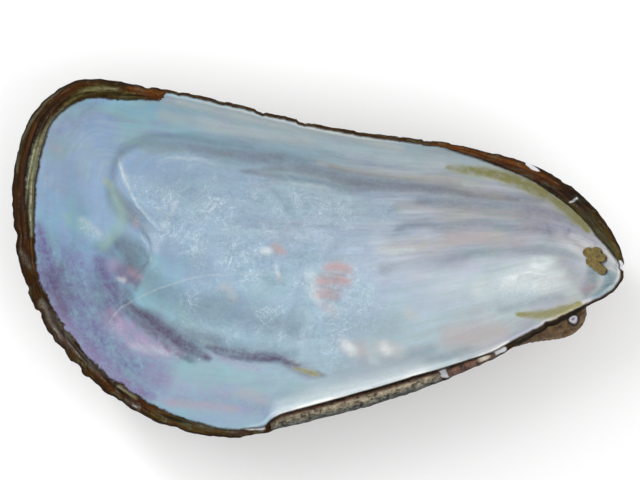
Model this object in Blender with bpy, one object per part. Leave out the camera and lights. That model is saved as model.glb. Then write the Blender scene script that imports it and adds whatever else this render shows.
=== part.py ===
"""Right valve of a horse mussel, lying on its convex side with the pearly hollow up.

X runs along the shell with the front (beak) end at +X, Y runs from the hinge (-Y) to the
belly margin (+Y), and Z is up from the surface that the shell lies on. Blender works in
metres here; the stations and sizes below are millimetres and are scaled once, by MM.
"""

import math

import bmesh
import bpy
import numpy as np

MM = 0.001

# Mean height of the rim over the surface it lies on, how much higher its front tip is, and
# the dip of the belly margin where the byssus passed out.
RIM_HEIGHT = 25.0
FRONT_TIP = 65.0
FRONT_RISE = 2.2
GAPE_DIP = 0.8
GAPE_CENTRE = 8.0
GAPE_REACH = 20.0
GAPE_SIDE = 10.0

# Where the hollow is deepest, with the worn flat that the valve rests on under it, and the
# wall there.
DEEPEST = np.array((-1.5, -3.2))
WORN_OFF = 0.3
WALL_AT_BOTTOM = 2.4
# The depth along the shell is an arch: 2 makes an end round, and more makes it blunter.
FRONT_BLUNTNESS = 4.0
BACK_BLUNTNESS = 2.1
# Across the shell, a lower exponent makes steeper sides and a flatter bottom.
FRONT_ARCH = 0.5
MIDDLE_ARCH = 0.74
BACK_ARCH = 0.95
END_MARGIN = 1.2
# The wall's top is this wide away from the hinge plate. The faces ease into the lip and the
# ledge over the last part of the way out to the rim.
PLAIN_WALL = 1.4
LIP_EASE = 0.16
LEDGE_EASE = 0.35

# The rim from above: front tip first, then the belly margin, the hind end and the hinge.
# Each station is x, y, width of the wall's top, and depth of the ledge for the ligament.
RIM = (
    (FRONT_TIP, -2.8, 1.3, 0.0),
    (64.2, 1.4, 1.3, 0.0),
    (61.8, 6.1, 1.3, 0.0),
    (57.8, 11.4, 1.3, 0.0),
    (51.4, 16.5, 1.4, 0.0),
    (42.9, 20.4, 1.4, 0.0),
    (26.0, 24.4, 1.4, 0.0),
    (4.8, 27.1, 1.4, 0.0),
    (-20.7, 33.1, 1.4, 0.0),
    (-38.2, 36.6, 1.4, 0.0),
    (-49.3, 37.7, 1.4, 0.0),
    (-56.6, 34.5, 1.4, 0.0),
    (-61.8, 28.0, 1.4, 0.0),
    (-64.8, 16.0, 1.4, 0.0),
    (-63.7, 0.8, 1.4, 0.0),
    (-60.1, -10.2, 1.4, 0.0),
    (-54.3, -19.4, 1.4, 0.0),
    (-46.5, -27.5, 1.4, 0.0),
    (-33.5, -35.2, 1.4, 0.0),
    (-20.7, -38.2, 1.5, 0.0),
    (-11.8, -37.4, 2.4, 0.4),
    (-7.0, -36.2, 4.2, 2.1),
    (9.0, -32.2, 4.6, 2.4),
    (21.7, -28.2, 4.4, 2.3),
    (31.0, -24.4, 3.4, 1.8),
    (38.7, -20.9, 2.6, 1.3),
    (47.2, -15.6, 1.5, 0.0),
    (56.1, -10.9, 1.3, 0.0),
    (61.0, -8.6, 1.3, 0.0),
    (63.9, -6.0, 1.3, 0.0),
)

# The rounded top of the wall: how far the pearly side and the outer edge drop below the rim,
# and the width of the pearly lip beside the ledge.
INNER_DROP = 0.35
EDGE_DROP = 0.7
LIP_WIDTH = 0.92
LEDGE_DROP = 0.03
# Its section from the inside out: the share of the wall's top left outside the point, the
# distance added to it, the share of the ledge's depth, and the drop below the rim.
LIP_SECTION = (
    (1.0, 0.0, 0.0, INNER_DROP),
    (1.0, -0.38 * LIP_WIDTH, 0.0, 0.0),
    (1.0, -0.82 * LIP_WIDTH, 0.0, 0.0),
    (1.0, -LIP_WIDTH, 1.0, LEDGE_DROP),
    (0.12, 0.0, 1.0, 0.36 * EDGE_DROP),
    (0.0, 0.0, 1.0, EDGE_DROP),
)

# Soft relief on the pearly face: x, y, radius and height of each hollow or blister. They are
# the scar of the hind muscle, the groove behind it, and the larger blisters.
RELIEF = (
    (-40.8, -1.2, 6.5, -0.55),
    (-47.0, 7.0, 7.0, -0.3),
    (1.6, -6.2, 4.6, 0.75),
    (-10.6, 1.4, 3.4, 0.4),
    (7.5, -22.0, 5.5, 0.45),
    (14.0, -20.5, 4.5, 0.35),
)

# The beak swells outwards over the hinge. Its front end in plan, the way it runs back and
# the way it faces, its round front, its whole length along the hinge and the share of it that
# keeps its full size, how far it stands out, how far below the rim it is fullest and has
# faded, and how its front draws back.
BEAK_FRONT = np.array((56.9, -10.3))
BEAK_BACKWARDS = np.array((-0.883, -0.469))
BEAK_OUTWARDS = np.array((0.469, -0.883))
BEAK_NOSE = 5.5
BEAK_LENGTH = 20.0
BEAK_FULL_SHARE = 0.26
BEAK_SWELL = 4.6
BEAK_FULLEST = 5.5
BEAK_FADED = 26.0
BEAK_DRAW_BACK = 0.02

# Slopes are measured over twice this distance.
SLOPE_STEP = 0.3

# Mesh density: stations round the rim, closer together at the beak, and rings of the bowl.
ROUND_STATIONS = 110
BEAK_DENSITY = 1.6
BEAK_REACH = 24.0
INNER_RINGS = (0.07, 0.15, 0.24, 0.33, 0.42, 0.51, 0.60, 0.68, 0.76, 0.83, 0.89, 0.94, 0.975)
OUTER_RINGS = (
    (0.992, 0.98, 0.965, 0.945, 0.92, 0.88, 0.83)
    + (0.77, 0.70, 0.62, 0.53, 0.43, 0.32, 0.21, 0.11)
)

# The torn ligament lies on the ledge, on the hinge side of y = HINGE_SIDE: the x range of each
# remnant, the gap round it, how high its crown stands over the rim, and how much of its
# height and width are left at a torn end.
HINGE_SIDE = -8.0
STRIP_ENDS = (-9.6, 26.6)
FRAGMENT_ENDS = (28.0, 37.9)
LIGAMENT_GAP = 0.32
LIGAMENT_CROWN = 0.35
TORN_HEIGHT = 0.45
TORN_WIDTH = 0.84
TAPER_LENGTH = 3.0
STRIP_SECTIONS = 26
FRAGMENT_SECTIONS = 12
# Directions of a section's points from the middle of its base, and how square its sides are.
SECTION_TURNS = (0, 35, 65, 90, 115, 145, 180)
SECTION_SQUARENESS = 0.8

# Dried muscle on the front scar: the centre of each lobe and its radius, its thickness and
# the share of it left at the edge, the gap under it, and its narrowest reach.
MUSCLE_LOBES = (
    (58.3, 1.0, 1.1),
    (59.8, 1.0, 1.2),
    (60.9, -0.2, 1.0),
    (59.2, -1.0, 1.35),
    (60.0, -2.2, 1.0),
    (60.9, -2.9, 1.05),
)
MUSCLE_THICKNESS = 0.55
MUSCLE_EDGE = 0.35
MUSCLE_GAP = 0.32
MUSCLE_NARROWEST = 0.6
MUSCLE_POINTS = 40
MUSCLE_RINGS = (0.35, 0.7, 0.92, 1.0)


def clear_scene():
    for obj in list(bpy.data.objects):
        bpy.data.objects.remove(obj, do_unlink=True)


def smooth_loop(stations, per_span):
    """Catmull-Rom through the closed stations in x and y; the other columns run straight."""
    table = np.array(stations)
    share = np.arange(per_span)[:, None] / per_span
    spans = []
    for i in range(len(table)):
        before, here, after, beyond = (table[(i + k) % len(table)] for k in (-1, 0, 1, 2))
        curve = here + 0.5 * share * (
            (after - before)
            + share * (2 * before - 5 * here + 4 * after - beyond)
            + share**2 * (3 * (here - after) + beyond - before)
        )
        straight = here + share * (after - here)
        spans.append(np.hstack((curve[:, :2], straight[:, 2:])))
    return np.vstack(spans)


def outward_normals(loop):
    """Unit normals of a closed plan curve that runs anticlockwise."""
    along = np.roll(loop, -1, axis=0) - np.roll(loop, 1, axis=0)
    normal = np.stack((along[:, 1], -along[:, 0]), axis=1)
    return normal / np.linalg.norm(normal, axis=1, keepdims=True)


def smoothstep(value):
    value = np.clip(value, 0, 1)
    return value * value * (3 - 2 * value)


class Face:
    """One face of the bowl: its depth over any point of the plan, nothing at the rim.

    A cross-section from the hinge rim to the belly rim is a flattened arch, and the depth
    of its middle runs along the shell as a longer arch, blunt in front and drawn out behind.
    """

    def __init__(self, loop):
        upper, lower = loop[loop[:, 1] >= self.split(loop)], loop[loop[:, 1] < self.split(loop)]
        self.upper = upper[np.argsort(upper[:, 0])]
        self.lower = lower[np.argsort(lower[:, 0])]
        self.back, self.front = loop[:, 0].min(), loop[:, 0].max()

    @staticmethod
    def split(loop):
        """Height of the line that parts the belly rim from the hinge rim, end to end."""
        back, front = loop[np.argmin(loop[:, 0])], loop[np.argmax(loop[:, 0])]
        share = (loop[:, 0] - back[0]) / (front[0] - back[0])
        return back[1] + share * (front[1] - back[1])

    def rims(self, x):
        high = np.interp(x, self.upper[:, 0], self.upper[:, 1])
        low = np.interp(x, self.lower[:, 0], self.lower[:, 1])
        return high, low

    def share(self, points):
        """Depth as a share of the deepest, from 0 at the rim to 1 at the bottom."""
        x = points[:, 0]
        inside = np.clip(x, self.back + END_MARGIN, self.front - END_MARGIN)
        ahead = np.clip((inside - DEEPEST[0]) / (self.front - DEEPEST[0]), 0, 1)
        behind = np.clip((DEEPEST[0] - inside) / (DEEPEST[0] - self.back), 0, 1)
        spine = 1 - ahead**FRONT_BLUNTNESS - behind**BACK_BLUNTNESS
        high, low = self.rims(inside)
        scale = spine / ((high - low) / 2) ** 2
        high, low = self.rims(x)
        product = np.clip(high - points[:, 1], 0, None) * np.clip(points[:, 1] - low, 0, None)
        arch = (
            MIDDLE_ARCH
            + (FRONT_ARCH - MIDDLE_ARCH) * smoothstep(ahead)
            + (BACK_ARCH - MIDDLE_ARCH) * smoothstep(behind)
        )
        return np.clip(scale * product, 0, 1) ** arch


def direction(points):
    """Direction of plan points from the deepest point."""
    away = points - DEEPEST
    return np.arctan2(away[:, 1], away[:, 0])


class Bowl:
    """Heights of the valve's outer and inner faces over any point of its plan."""

    def __init__(self):
        self.loop = smooth_loop(RIM, 24)
        plan = self.loop[:, :2]
        self.outside = Face(plan)
        self.inside = Face(plan - outward_normals(plan) * PLAIN_WALL)
        angle = direction(plan)
        order = np.argsort(angle)
        self.angle, self.ledge = angle[order], self.loop[order, 3]

    def outer(self, points):
        share = self.outside.share(points)
        edge = rim_level(points) - EDGE_DROP
        ledge = np.interp(direction(points), self.angle, self.ledge, period=2 * math.pi)
        ledge *= 1 - smoothstep(share / LEDGE_EASE)
        return np.maximum(edge - ledge - (edge + WORN_OFF) * share, 0.0)

    def inner(self, points):
        edge = rim_level(points) - INNER_DROP
        plain = edge - (edge + WORN_OFF - WALL_AT_BOTTOM) * self.inside.share(points)
        for x, y, radius, height in RELIEF:
            away = np.linalg.norm(points - (x, y), axis=1) / radius
            plain += height * smoothstep(1 - away)
        return plain

    def inner_normal(self, points):
        """Unit normals of the inner face, pointing into the hollow."""
        slopes = [
            (self.inner(points + step) - self.inner(points - step)) / (2 * SLOPE_STEP)
            for step in ((SLOPE_STEP, 0.0), (0.0, SLOPE_STEP))
        ]
        normal = np.column_stack((-slopes[0], -slopes[1], np.ones(len(points))))
        return normal / np.linalg.norm(normal, axis=1, keepdims=True)


def rim_level(points):
    """Height of the rim over plan points: it rises to the front and dips at the byssus gape."""
    x, y = points[:, 0], points[:, 1]
    gape = np.exp(-(((x - GAPE_CENTRE) / GAPE_REACH) ** 2)) * smoothstep(y / GAPE_SIDE)
    return RIM_HEIGHT + FRONT_RISE * x / FRONT_TIP - GAPE_DIP * gape


def beak_swelling(points, drop):
    """How far the outer face stands out at the beak, at plan points this far below the rim."""
    below = np.clip(drop - BEAK_FULLEST, 0, None)
    along = (points - BEAK_FRONT) @ BEAK_BACKWARDS - BEAK_DRAW_BACK * below**2
    front = np.sqrt(1 - np.clip(1 - along / BEAK_NOSE, 0, 1) ** 2)
    back = smoothstep((1 - along / BEAK_LENGTH) / (1 - BEAK_FULL_SHARE))
    height = smoothstep(drop / BEAK_FULLEST) * smoothstep(1 - below / (BEAK_FADED - BEAK_FULLEST))
    reach = smoothstep(1 - np.abs((points - BEAK_FRONT) @ BEAK_OUTWARDS) / BEAK_LENGTH)
    return BEAK_SWELL * front * back * height * reach


def spaced_round(loop):
    """The loop resampled to ROUND_STATIONS rows, closer together towards the beak."""
    closed = np.vstack((loop, loop[:1]))
    step = np.linalg.norm(np.diff(closed[:, :2], axis=0), axis=1)
    nearness = np.exp(-((np.linalg.norm(loop[:, :2] - BEAK_FRONT, axis=1) / BEAK_REACH) ** 2))
    travelled = np.concatenate(((0.0,), np.cumsum(step * (1 + BEAK_DENSITY * nearness))))
    wanted = np.arange(ROUND_STATIONS) * travelled[-1] / ROUND_STATIONS
    return np.stack([np.interp(wanted, travelled, column) for column in closed.T], axis=1)


def valve_rings(bowl):
    """Closed rings of points from the middle of the hollow, over the rim, to the underside."""
    stations = spaced_round(bowl.loop)
    plan, wall, ledge = stations[:, :2], stations[:, 2], stations[:, 3]
    rim = rim_level(plan)
    normals = outward_normals(plan)
    inner_edge = plan - normals * wall[:, None]
    lift = rim - INNER_DROP - bowl.inner(inner_edge)
    rings = []
    for share in INNER_RINGS:
        at = DEEPEST + share * (inner_edge - DEEPEST)
        eased = lift * smoothstep(np.array((share - 1) / LIP_EASE + 1))
        rings.append(np.column_stack((at, bowl.inner(at) + eased)))
    for wall_share, nudge, ledge_share, drop in LIP_SECTION:
        at = plan - normals * (wall_share * wall + nudge)[:, None]
        rings.append(np.column_stack((at, rim - ledge_share * ledge - drop)))
    for share in OUTER_RINGS:
        at = DEEPEST + share * (plan - DEEPEST)
        height = bowl.outer(at)
        at = at + BEAK_OUTWARDS * beak_swelling(at, rim_level(at) - height)[:, None]
        rings.append(np.column_stack((at, height)))
    return rings


def mesh_object(name, rings, first_cap, last_cap, materials, second_from=None):
    """A closed body through the rings, capped by a fan to a point at each end.

    Its faces take the first material, and the second one from ring number second_from on.
    """
    mesh = bmesh.new()
    made = [[mesh.verts.new(point * MM) for point in ring] for ring in rings]
    for number, (one, other) in enumerate(zip(made, made[1:])):
        for i in range(len(one)):
            j = (i + 1) % len(one)
            face = mesh.faces.new((one[i], one[j], other[j], other[i]))
            face.material_index = int(second_from is not None and number >= second_from)
    for ring, cap, slot in ((made[0], first_cap, 0), (made[-1], last_cap, len(materials) - 1)):
        middle = mesh.verts.new(np.asarray(cap) * MM)
        for i in range(len(ring)):
            face = mesh.faces.new((ring[i], ring[(i + 1) % len(ring)], middle))
            face.material_index = slot
    bmesh.ops.recalc_face_normals(mesh, faces=mesh.faces)
    bmesh.ops.triangulate(mesh, faces=[f for f in mesh.faces if len(f.verts) > 3])
    data = bpy.data.meshes.new(name)
    mesh.to_mesh(data)
    mesh.free()
    data.shade_smooth()
    data.set_sharp_from_angle(angle=math.radians(40))
    for material in materials:
        data.materials.append(material)
    obj = bpy.data.objects.new(name, data)
    bpy.context.scene.collection.objects.link(obj)
    return obj


def principled(name, colour, roughness, coat=0.0):
    material = bpy.data.materials.new(name)
    material.use_nodes = True
    shader = material.node_tree.nodes["Principled BSDF"]
    shader.inputs["Base Color"].default_value = (*colour, 1.0)
    shader.inputs["Roughness"].default_value = roughness
    shader.inputs["Metallic"].default_value = 0.0
    shader.inputs["Coat Weight"].default_value = coat
    material.diffuse_color = (*colour, 1.0)
    return material


def build_valve(bowl):
    rings = valve_rings(bowl)
    floor = (*DEEPEST, float(bowl.inner(DEEPEST[None])[0]))
    foot = (*DEEPEST, 0.0)
    nacre = principled("nacre", (0.39, 0.50, 0.60), 0.3, coat=0.4)
    skin = principled("periostracum", (0.06, 0.035, 0.012), 0.4)
    # The horny brown skin starts at the ledge and covers the whole outside.
    ledge_ring = len(INNER_RINGS) + 3
    return mesh_object("valve", rings, floor, foot, (nacre, skin), second_from=ledge_ring)


def hinge_stations(bowl, ends, count):
    """Points of the rim on the hinge side, evenly spaced in x between the two ends."""
    hinge = bowl.loop[bowl.loop[:, 1] < HINGE_SIDE]
    hinge = hinge[np.argsort(hinge[:, 0])]
    x = np.linspace(*ends, count)
    return np.stack([np.interp(x, hinge[:, 0], column) for column in hinge.T], axis=1)


def build_ligament(bowl, name, ends, count, material):
    """A remnant of the ligament: a low half-round strip that tapers into its torn ends."""
    stations = hinge_stations(bowl, ends, count)
    along = np.gradient(stations[:, :2], axis=0)
    along /= np.linalg.norm(along, axis=1, keepdims=True)
    outwards = np.stack((along[:, 1], -along[:, 0]), axis=1)
    levels = rim_level(stations[:, :2])
    rings = []
    for (x, y, wall, ledge), out, level in zip(stations, outwards, levels):
        from_end = min(x - ends[0], ends[1] - x)
        full = float(smoothstep(np.array(from_end / TAPER_LENGTH)))
        floor = level - ledge - LEDGE_DROP + LIGAMENT_GAP
        middle = (LIP_WIDTH + LIGAMENT_GAP - wall) / 2
        half_width = -middle * (TORN_WIDTH + (1 - TORN_WIDTH) * full)
        crown = (level + LIGAMENT_CROWN - floor) * (TORN_HEIGHT + (1 - TORN_HEIGHT) * full)
        section = []
        for turn in np.radians(SECTION_TURNS):
            aside = middle + half_width * math.cos(turn)
            height = floor + crown * abs(math.sin(turn)) ** SECTION_SQUARENESS
            section.append((x + out[0] * aside, y + out[1] * aside, height))
        rings.append(np.array(section))
    caps = [ring.mean(axis=0) for ring in (rings[0], rings[-1])]
    return mesh_object(name, rings, *caps, (material,))


def lobed_outline(lobes, count):
    """The outer edge of overlapping round lobes, as seen from their common middle."""
    table = np.array(lobes)
    middle = table[:, :2].mean(axis=0)
    angles = np.arange(count) * 2 * math.pi / count
    reach = []
    for angle in angles:
        ray = np.array((math.cos(angle), math.sin(angle)))
        ahead = (table[:, :2] - middle) @ ray
        aside = np.linalg.norm(table[:, :2] - middle, axis=1) ** 2 - ahead**2
        inside = table[:, 2] ** 2 - aside
        far = ahead[inside > 0] + np.sqrt(inside[inside > 0])
        reach.append(max(far.max() if len(far) else 0.0, MUSCLE_NARROWEST))
    reach = np.array(reach)
    edge = middle + reach[:, None] * np.stack((np.cos(angles), np.sin(angles)), axis=1)
    return middle, edge


def build_muscle(bowl, material):
    """A thin lobed crust of dried muscle that follows the bowl with a hair of clearance."""
    middle, edge = lobed_outline(MUSCLE_LOBES, MUSCLE_POINTS)

    def lifted(at, height):
        """Points this far off the inner face over plan points."""
        return np.column_stack((at, bowl.inner(at))) + bowl.inner_normal(at) * height

    under, over = [], []
    for share in MUSCLE_RINGS:
        at = middle + share * (edge - middle)
        domed = MUSCLE_THICKNESS * (MUSCLE_EDGE + (1 - MUSCLE_EDGE) * math.sqrt(1 - share**2))
        under.append(lifted(at, MUSCLE_GAP))
        over.append(lifted(at, MUSCLE_GAP + domed))
    below = lifted(middle[None], MUSCLE_GAP)[0]
    above = lifted(middle[None], MUSCLE_GAP + MUSCLE_THICKNESS)[0]
    return mesh_object("muscle_remnant", under + over[::-1], below, above, (material,))


def main():
    clear_scene()
    bowl = Bowl()
    build_valve(bowl)
    horn = principled("ligament", (0.15, 0.11, 0.07), 0.7)
    build_ligament(bowl, "ligament_strip", STRIP_ENDS, STRIP_SECTIONS, horn)
    build_ligament(bowl, "ligament_fragment", FRAGMENT_ENDS, FRAGMENT_SECTIONS, horn)
    build_muscle(bowl, principled("dried_muscle", (0.23, 0.17, 0.05), 0.5))


main()
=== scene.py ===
"""Looks for the mussel shell: its pearly valve, torn ligament and dried muscle crust.

The valve is meshed again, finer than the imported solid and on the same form, with the relief of
its pearly face, its layered horny rim and the growth lines outside. Lengths in the tables are
millimetres: X runs along the shell to its front, Y from the hinge to the belly margin, Z up.
"""

import math

import bpy
import numpy as np
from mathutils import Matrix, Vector


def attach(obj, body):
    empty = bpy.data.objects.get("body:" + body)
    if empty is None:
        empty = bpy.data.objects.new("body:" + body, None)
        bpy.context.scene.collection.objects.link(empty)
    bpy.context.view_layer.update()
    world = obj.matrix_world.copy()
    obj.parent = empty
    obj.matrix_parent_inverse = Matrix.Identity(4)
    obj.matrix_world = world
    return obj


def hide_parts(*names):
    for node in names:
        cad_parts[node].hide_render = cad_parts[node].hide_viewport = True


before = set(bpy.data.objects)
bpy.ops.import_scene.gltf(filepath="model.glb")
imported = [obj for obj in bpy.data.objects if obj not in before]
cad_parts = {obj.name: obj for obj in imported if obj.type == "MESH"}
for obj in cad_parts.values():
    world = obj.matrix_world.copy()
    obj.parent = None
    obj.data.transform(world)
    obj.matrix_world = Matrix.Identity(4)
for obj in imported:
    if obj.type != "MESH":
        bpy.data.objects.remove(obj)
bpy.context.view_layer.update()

bl_info = {
    "name": "Mussel Shell",
    "version": (1, 0, 0),
    "blender": (4, 5, 0),
    "location": "3D View > Sidebar > Mussel Shell",
    "description": "Builds a pearly mussel shell with its horny rim and torn ligament",
    "category": "Add Mesh",
}

MM = 0.001

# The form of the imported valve, which every piece here follows.
RIM_HEIGHT = 25.0
FRONT_TIP = 65.0
FRONT_RISE = 2.2
GAPE_DIP = 0.8
GAPE_CENTRE = 8.0
GAPE_REACH = 20.0
GAPE_SIDE = 10.0
DEEPEST = np.array((-1.5, -3.2))
WORN_OFF = 0.3
WALL_AT_BOTTOM = 2.4
FRONT_BLUNTNESS = 4.0
BACK_BLUNTNESS = 2.1
FRONT_ARCH = 0.5
MIDDLE_ARCH = 0.74
BACK_ARCH = 0.95
END_MARGIN = 1.2
PLAIN_WALL = 1.4
LIP_EASE = 0.16
LEDGE_EASE = 0.35
SLOPE_STEP = 0.3

# Stations of the rim: x, y, width of the wall's top, and depth of the ligament's ledge.
RIM = (
    (FRONT_TIP, -2.8, 1.3, 0.0),
    (64.2, 1.4, 1.3, 0.0),
    (61.8, 6.1, 1.3, 0.0),
    (57.8, 11.4, 1.3, 0.0),
    (51.4, 16.5, 1.4, 0.0),
    (42.9, 20.4, 1.4, 0.0),
    (26.0, 24.4, 1.4, 0.0),
    (4.8, 27.1, 1.4, 0.0),
    (-20.7, 33.1, 1.4, 0.0),
    (-38.2, 36.6, 1.4, 0.0),
    (-49.3, 37.7, 1.4, 0.0),
    (-56.6, 34.5, 1.4, 0.0),
    (-61.8, 28.0, 1.4, 0.0),
    (-64.8, 16.0, 1.4, 0.0),
    (-63.7, 0.8, 1.4, 0.0),
    (-60.1, -10.2, 1.4, 0.0),
    (-54.3, -19.4, 1.4, 0.0),
    (-46.5, -27.5, 1.4, 0.0),
    (-33.5, -35.2, 1.4, 0.0),
    (-20.7, -38.2, 1.5, 0.0),
    (-11.8, -37.4, 2.4, 0.4),
    (-7.0, -36.2, 4.2, 2.1),
    (9.0, -32.2, 4.6, 2.4),
    (21.7, -28.2, 4.4, 2.3),
    (31.0, -24.4, 3.4, 1.8),
    (38.7, -20.9, 2.6, 1.3),
    (47.2, -15.6, 1.5, 0.0),
    (56.1, -10.9, 1.3, 0.0),
    (61.0, -8.6, 1.3, 0.0),
    (63.9, -6.0, 1.3, 0.0),
)
INNER_DROP = 0.35
EDGE_DROP = 0.7
LIP_WIDTH = 0.92
LEDGE_DROP = 0.03
LIP_SECTION = (
    (1.0, 0.0, 0.0, INNER_DROP),
    (1.0, -0.38 * LIP_WIDTH, 0.0, 0.0),
    (1.0, -0.82 * LIP_WIDTH, 0.0, 0.0),
    (1.0, -LIP_WIDTH, 1.0, LEDGE_DROP),
    (0.12, 0.0, 1.0, 0.36 * EDGE_DROP),
    (0.0, 0.0, 1.0, EDGE_DROP),
)
SOLID_RELIEF = (
    (-40.8, -1.2, 6.5, -0.55),
    (-47.0, 7.0, 7.0, -0.3),
    (1.6, -6.2, 4.6, 0.75),
    (-10.6, 1.4, 3.4, 0.4),
    (7.5, -22.0, 5.5, 0.45),
    (14.0, -20.5, 4.5, 0.35),
)
BEAK_FRONT = np.array((56.9, -10.3))
BEAK_BACKWARDS = np.array((-0.883, -0.469))
BEAK_OUTWARDS = np.array((0.469, -0.883))
BEAK_NOSE = 5.5
BEAK_LENGTH = 20.0
BEAK_FULL_SHARE = 0.26
BEAK_SWELL = 4.6
BEAK_FULLEST = 5.5
BEAK_FADED = 26.0
BEAK_DRAW_BACK = 0.02

# Mesh of the valve: stations round the rim, rings of each face, and rings between two
# points of the lip's section.
AROUND = 560
INNER_RINGS = 98
OUTER_RINGS = 64
LIP_STEPS = 2
# Rings crowd towards the rim, where the layers of the horny margin are.
INNER_CROWDING = 1.35
OUTER_CROWDING = 1.7
BEAK_DENSITY = 0.8
BEAK_REACH = 24.0

# How far the horny skin wraps onto the pearly face: x, y of the rim and the width there.
HORN_MARGIN = (
    (65.0, -2.8, 0.7),
    (64.3, 1.3, 1.7),
    (61.8, 6.1, 2.8),
    (57.8, 11.4, 3.2),
    (51.4, 16.5, 3.3),
    (42.9, 20.4, 2.7),
    (34.5, 22.5, 1.8),
    (26.0, 24.4, 1.1),
    (4.8, 27.1, 0.7),
    (-20.7, 33.1, 0.6),
    (-31.6, 35.2, 0.6),
    (-33.2, 35.5, 2.4),
    (-41.9, 37.2, 3.8),
    (-55.9, 35.0, 4.1),
    (-61.0, 29.3, 4.4),
    (-64.1, 20.6, 5.0),
    (-64.7, 12.1, 4.7),
    (-63.5, -0.6, 3.4),
    (-61.9, -5.5, 2.9),
    (-60.0, -10.0, 3.0),
    (-54.6, -18.9, 3.0),
    (-46.0, -27.8, 3.0),
    (-37.6, -33.0, 2.7),
    (-29.0, -36.7, 2.4),
    (-20.7, -38.2, 1.7),
    (-12.0, -37.5, 1.4),
    (-7.0, -36.2, 3.1),
    (9.0, -32.2, 3.6),
    (21.7, -28.2, 3.4),
    (31.0, -24.4, 2.4),
    (38.7, -20.9, 1.6),
    (47.0, -15.7, 0.8),
    (56.1, -10.9, 0.5),
    (63.0, -7.2, 0.5),
)
# How ragged the rim and the horn's inner border are: x, y of the rim, then both in
# millimetres. The hind lower edge flakes most.
RAGGED = (
    (65.0, -2.8, 0.18, 0.10),
    (51.4, 16.5, 0.16, 0.06),
    (26.0, 24.4, 0.22, 0.08),
    (-20.7, 33.1, 0.26, 0.10),
    (-41.9, 37.2, 0.24, 0.22),
    (-61.0, 29.3, 0.20, 0.22),
    (-64.0, 5.0, 0.28, 0.25),
    (-58.0, -14.0, 0.50, 0.50),
    (-46.0, -27.8, 0.50, 0.75),
    (-33.0, -35.2, 0.30, 0.25),
    (-12.0, -37.5, 0.22, 0.10),
    (21.7, -28.2, 0.20, 0.05),
    (47.0, -15.7, 0.22, 0.08),
)
# Chips out of the rim: x, y, width and depth.
CHIPS = (
    (64.4, -2.3, 0.9, 1.3),
    (-11.9, 30.9, 1.5, 0.5),
    (22.9, 25.0, 1.2, 0.4),
    (-3.0, 28.9, 2.0, 0.45),
    (52.6, 15.9, 1.4, 0.35),
    (-36.0, 36.4, 1.2, 0.5),
    (-63.6, 4.6, 1.6, 0.6),
    (-59.3, -12.0, 1.3, 0.45),
    (-51.0, -23.2, 1.6, 0.5),
    (-30.2, -36.4, 1.5, 0.4),
    (49.0, -15.0, 1.0, 0.4),
)

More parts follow.
